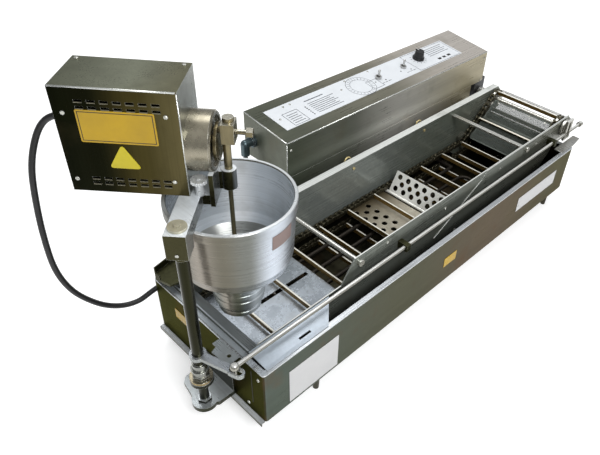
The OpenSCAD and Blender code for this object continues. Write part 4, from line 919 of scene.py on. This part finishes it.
screw_set("head_screws", "depositor", [facing(head(u, FRONT_V, z), HEAD_FRONT) for u, z in
          ((-127, 335), (-14, 337), (-130, 247.5), (-15, 250))], 2.6)
screw_set("head_top_screws", "depositor", [facing(head(u, v, BOX_Z1), UP) for u, v in
          ((-131, 131), (-7, 131))], 2.6)

bm = bmesh.new()
for z in (241, 248, 341, 349):
    for i in range(7):
        lip = HEAD @ Matrix.Translation(Vector((BOX_U0 + 26 + 14 * i, FRONT_V, z)) * MM)
        add_section(bm, [(0, 0.4), (-0.7, 0.2), (-0.9, -0.3), (-0.5, -0.8), (0, -1.0)], 9, lip)
finish_piece("head_louvres", bm, louvre_steel, "depositor")

bm = bmesh.new()
inset = 0.55
fold_u, fold_v, fold_z = BOX_U1 - inset, FRONT_V + inset, BOX_Z1 - inset
add_tube(bm, [head(BOX_U0 + 1, fold_v, fold_z), head(BOX_U1 - 1.6, fold_v, fold_z)], 1.15 * MM, 8)
add_tube(bm, [head(fold_u, fold_v, BOX_Z1 - 1.6), head(fold_u, fold_v, BOX_Z0 + 1)], 0.8 * MM, 8)
finish_piece("head_folds", bm, fold_glint_steel, "depositor", smooth=True)

# Control box: folds painted bright as a highlight, screws and printed lines

bm = bmesh.new()
add_tube(bm, [panel_point(0.6, 0.5, 0.9), panel_point(CTL_W - 0.6, 0.5, 0.9)], 1.1 * MM, 8)
add_tube(bm, [panel_point(0.5, 1.6, 0.9), panel_point(0.5, CTL_DEPTH - 2, 0.9)], 1.1 * MM, 8)
fold_x, fold_y = CTL_LO.x + 0.5, CTL_LO.y + 0.5
add_tube(bm, [at(fold_x, fold_y, CTL_FRONT_TOP - 2), at(fold_x, fold_y, CTL_LO.z + 2)], 0.8 * MM, 8)
finish_piece("control_folds", bm, fold_glint_steel, "fryer", smooth=True)

screw_set("control_front_screws", "fryer", [facing(at(x, CTL_LO.y, z), FRONT) for x, z in
          ((CTL_LO.x + 9, 113), (CTL_HI.x - 9, 116), (CTL_HI.x - 9, 62))], 2.4)
screw_set("overlay_screws", "fryer", [panel_matrix(x - CTL_LO.x, d, OVERLAY_TOP) for x, d in
          ((346, 87), (362, 87), (316, 60), (508, 88), (480, 69), (577, 89))], 2.2)

bm = bmesh.new()
flat = panel_matrix(0, 0, OVERLAY_TOP)
frame_lines(bm, 48, 84, 31, 70, 1.1, flat)
for i in range(5):
    add_bar(bm, flat, 53, 79 - 3 * (i % 2), 37 + 6 * i, 38.6 + 6 * i)
add_bar(bm, flat, 112, 160, 78, 80.4)
for i in range(7):
    add_bar(bm, flat, 112, 178 - 6 * (i % 3), 38 + 5.2 * i, 39.5 + 5.2 * i)
frame_lines(bm, 262, 292, 34, 62, 0.9, flat)
frame_lines(bm, 404, 546, 30, 92, 0.9, flat)
for i in range(5):
    add_bar(bm, flat, 470, 536 - 7 * (i % 2), 58 + 6 * i, 59.5 + 6 * i)
for x in (315, 394):
    for i in range(3):
        add_bar(bm, flat, x - 24 + 10 * i, x - 16 + 10 * i, 40, 41.3)
finish_piece("overlay_print", bm, print_grey, "fryer")

bm = bmesh.new()
for i in range(6):
    add_dot(bm, 1.5, 102, 39 + 5.2 * i)
for x0, x1 in ((478, 488), (494, 504), (510, 521)):
    add_bar(bm, flat, x0, x1, 38, 44)
for x, d in ((283, 52), (309, 47), (362, 52), (389, 46)):
    add_dot(bm, 1.7, x, d)
finish_piece("overlay_marks", bm, print_dark, "fryer")

bm = bmesh.new()
dial = panel_matrix(DIAL_X, DIAL_D, OVERLAY_TOP)
RING_STEPS = 72
DIAL_TICKS = 24
for r0, r1 in ((31.2, 32.2), (22.4, 23.2)):
    for i in range(RING_STEPS):
        a0, a1 = (2 * math.pi * k / RING_STEPS for k in (i, i + 1))
        corners = [(r0, a0), (r1, a0), (r1, a1), (r0, a1)]
        places = [dial @ (Vector((r * math.cos(a), r * math.sin(a), 0.1)) * MM) for r, a in corners]
        bm.faces.new([bm.verts.new(p) for p in places])
for i in range(DIAL_TICKS):
    turn = dial @ Matrix.Rotation(2 * math.pi * i / DIAL_TICKS, 4, "Z")
    add_bar(bm, turn, 24.5 if i % 2 else 23.2, 29.5, -0.4, 0.4)
finish_piece("overlay_dial", bm, print_grey, "fryer")

bm = bmesh.new()
knob_place = panel_matrix(KNOB_X, KNOB_D, OVERLAY_TOP)
for i in range(11):
    turn = knob_place @ Matrix.Rotation(math.radians(-225 + 27 * i), 4, "Z")
    add_bar(bm, turn, 15.5, 19.5, -0.45, 0.45)
finish_piece("thermostat_scale", bm, print_dark, "fryer")

bm = bmesh.new()
pointer = panel_matrix(KNOB_X, KNOB_D, KNOB_TOP)
add_bar(bm, pointer, -0.9, 0.9, 2.5, 10.6)
finish_piece("knob_line", bm, plate_white, "thermostat_knob")

# Kettle: bolts, a seam, and the turned-out flange along the bottom of the left wall

screw_set("corner_bolts", "fryer",
          [facing(at(0, y, z), LEFT) for y, z in ((11, -16), (36, -90), (179, -88))], 2.8)
bm = bmesh.new()
add_box(bm, (-0.35, 26, -82), (0, 27.2, -10), ROOT, 0.1)
finish_piece("left_seam", bm, seam_dark, "fryer")
bm = bmesh.new()
along_y = Matrix.Translation(at(0, 2, 0)) @ Matrix.Rotation(math.pi / 2, 4, "Z")
flange = [(0, -103.6), (5.4, -104.2), (6.6, -105.2), (6.6, -111), (5.4, -111), (5.2, -106), (0, -105.4)]
add_section(bm, flange, 259, along_y)
finish_piece("left_flange", bm, flange_steel, "fryer")

# Hopper: a bare plate that follows the wall

bm = bmesh.new()
hop_axis = at(HOPPER.x, HOPPER.y, 0)
WALL_R, WALL_Z, WALL_FLARE = 80.0, 120.0, 4.0 / 74.0
steps = 10
shells = []
for lift in (0.05, 0.45):
    rows = []
    for z in (168.0, 190.0):
        r = WALL_R + WALL_FLARE * (z - WALL_Z) + lift
        turns = [math.radians(-92 + 26 * i / steps) for i in range(steps + 1)]
        points = [Vector((r * math.cos(a), r * math.sin(a), z)) * MM for a in turns]
        rows.append([bm.verts.new(hop_axis + p) for p in points])
    shells.append(rows)
for rows in shells:
    for i in range(steps):
        bm.faces.new([rows[0][i], rows[0][i + 1], rows[1][i + 1], rows[1][i]])
for k in (0, 1):
    for i in range(steps):
        bm.faces.new([shells[0][k][i], shells[0][k][i + 1], shells[1][k][i + 1], shells[1][k][i]])
for i in (0, steps):
    bm.faces.new([shells[0][0][i], shells[0][1][i], shells[1][1][i], shells[1][0][i]])
finish_piece("hopper_plate", bm, plate_rust, "depositor")

# Conveyor: screws on the front side plate

SIDE_Y = 44
screw_set("side_screws", "fryer", [facing(at(x, SIDE_Y, z), FRONT) for x, z in
          ((461, 23), (300, 36), (640, 30), (780, 30), (900, 38))], 2.8)
screw_set("arm_screw", "depositor", [facing(head(0, -16, 201), HEAD_FRONT)], 2.2)

# Floor and light

bm = bmesh.new()
bmesh.ops.create_grid(bm, x_segments=1, y_segments=1, size=12.0)
floor_mesh = bpy.data.meshes.new("floor")
bm.to_mesh(floor_mesh)
bm.free()
floor_finish = Finish("floor_pale")
grain = floor_finish.noise(3.0)
pale = floor_finish.mix(grain, (0.78, 0.78, 0.78, 1.0), (0.82, 0.82, 0.82, 1.0))
floor_finish.put(floor_finish.bsdf.inputs["Base Color"], pale)
floor_finish.bsdf.inputs["Roughness"].default_value = 0.9
nodes, links = floor_finish.nodes, floor_finish.links
output = nodes["Material Output"]
paths = nodes.new("ShaderNodeLightPath")
seen = floor_finish.math("MAXIMUM", paths.outputs["Is Camera Ray"], paths.outputs["Is Glossy Ray"])
seen = floor_finish.math("MAXIMUM", seen, paths.outputs["Is Transmission Ray"])
glow = nodes.new("ShaderNodeEmission")
glow.inputs["Color"].default_value = (1.0, 1.0, 1.0, 1.0)
links.new(floor_finish.math("MULTIPLY", seen, 0.5), glow.inputs["Strength"])
both = nodes.new("ShaderNodeAddShader")
links.new(floor_finish.bsdf.outputs["BSDF"], both.inputs[0])
links.new(glow.outputs["Emission"], both.inputs[1])
links.new(both.outputs["Shader"], output.inputs["Surface"])
floor_mesh.materials.append(floor_finish.material)
floor = bpy.data.objects.new("floor", floor_mesh)
scene.collection.objects.link(floor)

scene.view_settings.view_transform = "Standard"
world = bpy.data.worlds.new("studio")
scene.world = world
world.use_nodes = True
nodes, links = world.node_tree.nodes, world.node_tree.links
background = nodes["Background"]
tex = nodes.new("ShaderNodeTexCoord")
split = nodes.new("ShaderNodeSeparateXYZ")
links.new(tex.outputs["Generated"], split.inputs["Vector"])
sky = nodes.new("ShaderNodeValToRGB")
sky.color_ramp.elements[0].color = (0.40, 0.41, 0.42, 1.0)
sky.color_ramp.elements[1].color = (0.98, 0.99, 1.0, 1.0)
links.new(split.outputs["Z"], sky.inputs["Fac"])
links.new(sky.outputs["Color"], background.inputs["Color"])
background.inputs["Strength"].default_value = 0.62
backdrop = nodes.new("ShaderNodeBackground")
backdrop.inputs["Color"].default_value = (1.0, 1.0, 1.0, 1.0)
paths = nodes.new("ShaderNodeLightPath")
choice = nodes.new("ShaderNodeMixShader")
links.new(paths.outputs["Is Camera Ray"], choice.inputs["Fac"])
links.new(background.outputs["Background"], choice.inputs[1])
links.new(backdrop.outputs["Background"], choice.inputs[2])
links.new(choice.outputs["Shader"], nodes["World Output"].inputs["Surface"])


def area_light(name, place, target, size, power):
    light = bpy.data.lights.new(name, "AREA")
    light.shape = "RECTANGLE"
    light.size, light.size_y = size
    light.energy = power
    lamp = bpy.data.objects.new(name, light)
    lamp.location = place
    lamp.rotation_euler = (Vector(target) - Vector(place)).to_track_quat("-Z", "Y").to_euler()
    scene.collection.objects.link(lamp)


area_light("key", (-0.7, -1.7, 1.9), (0, 0, 0.2), (1.1, 0.8), 34)
area_light("top", (0.4, 0.5, 2.2), (0, 0, 0.1), (1.6, 1.0), 22)
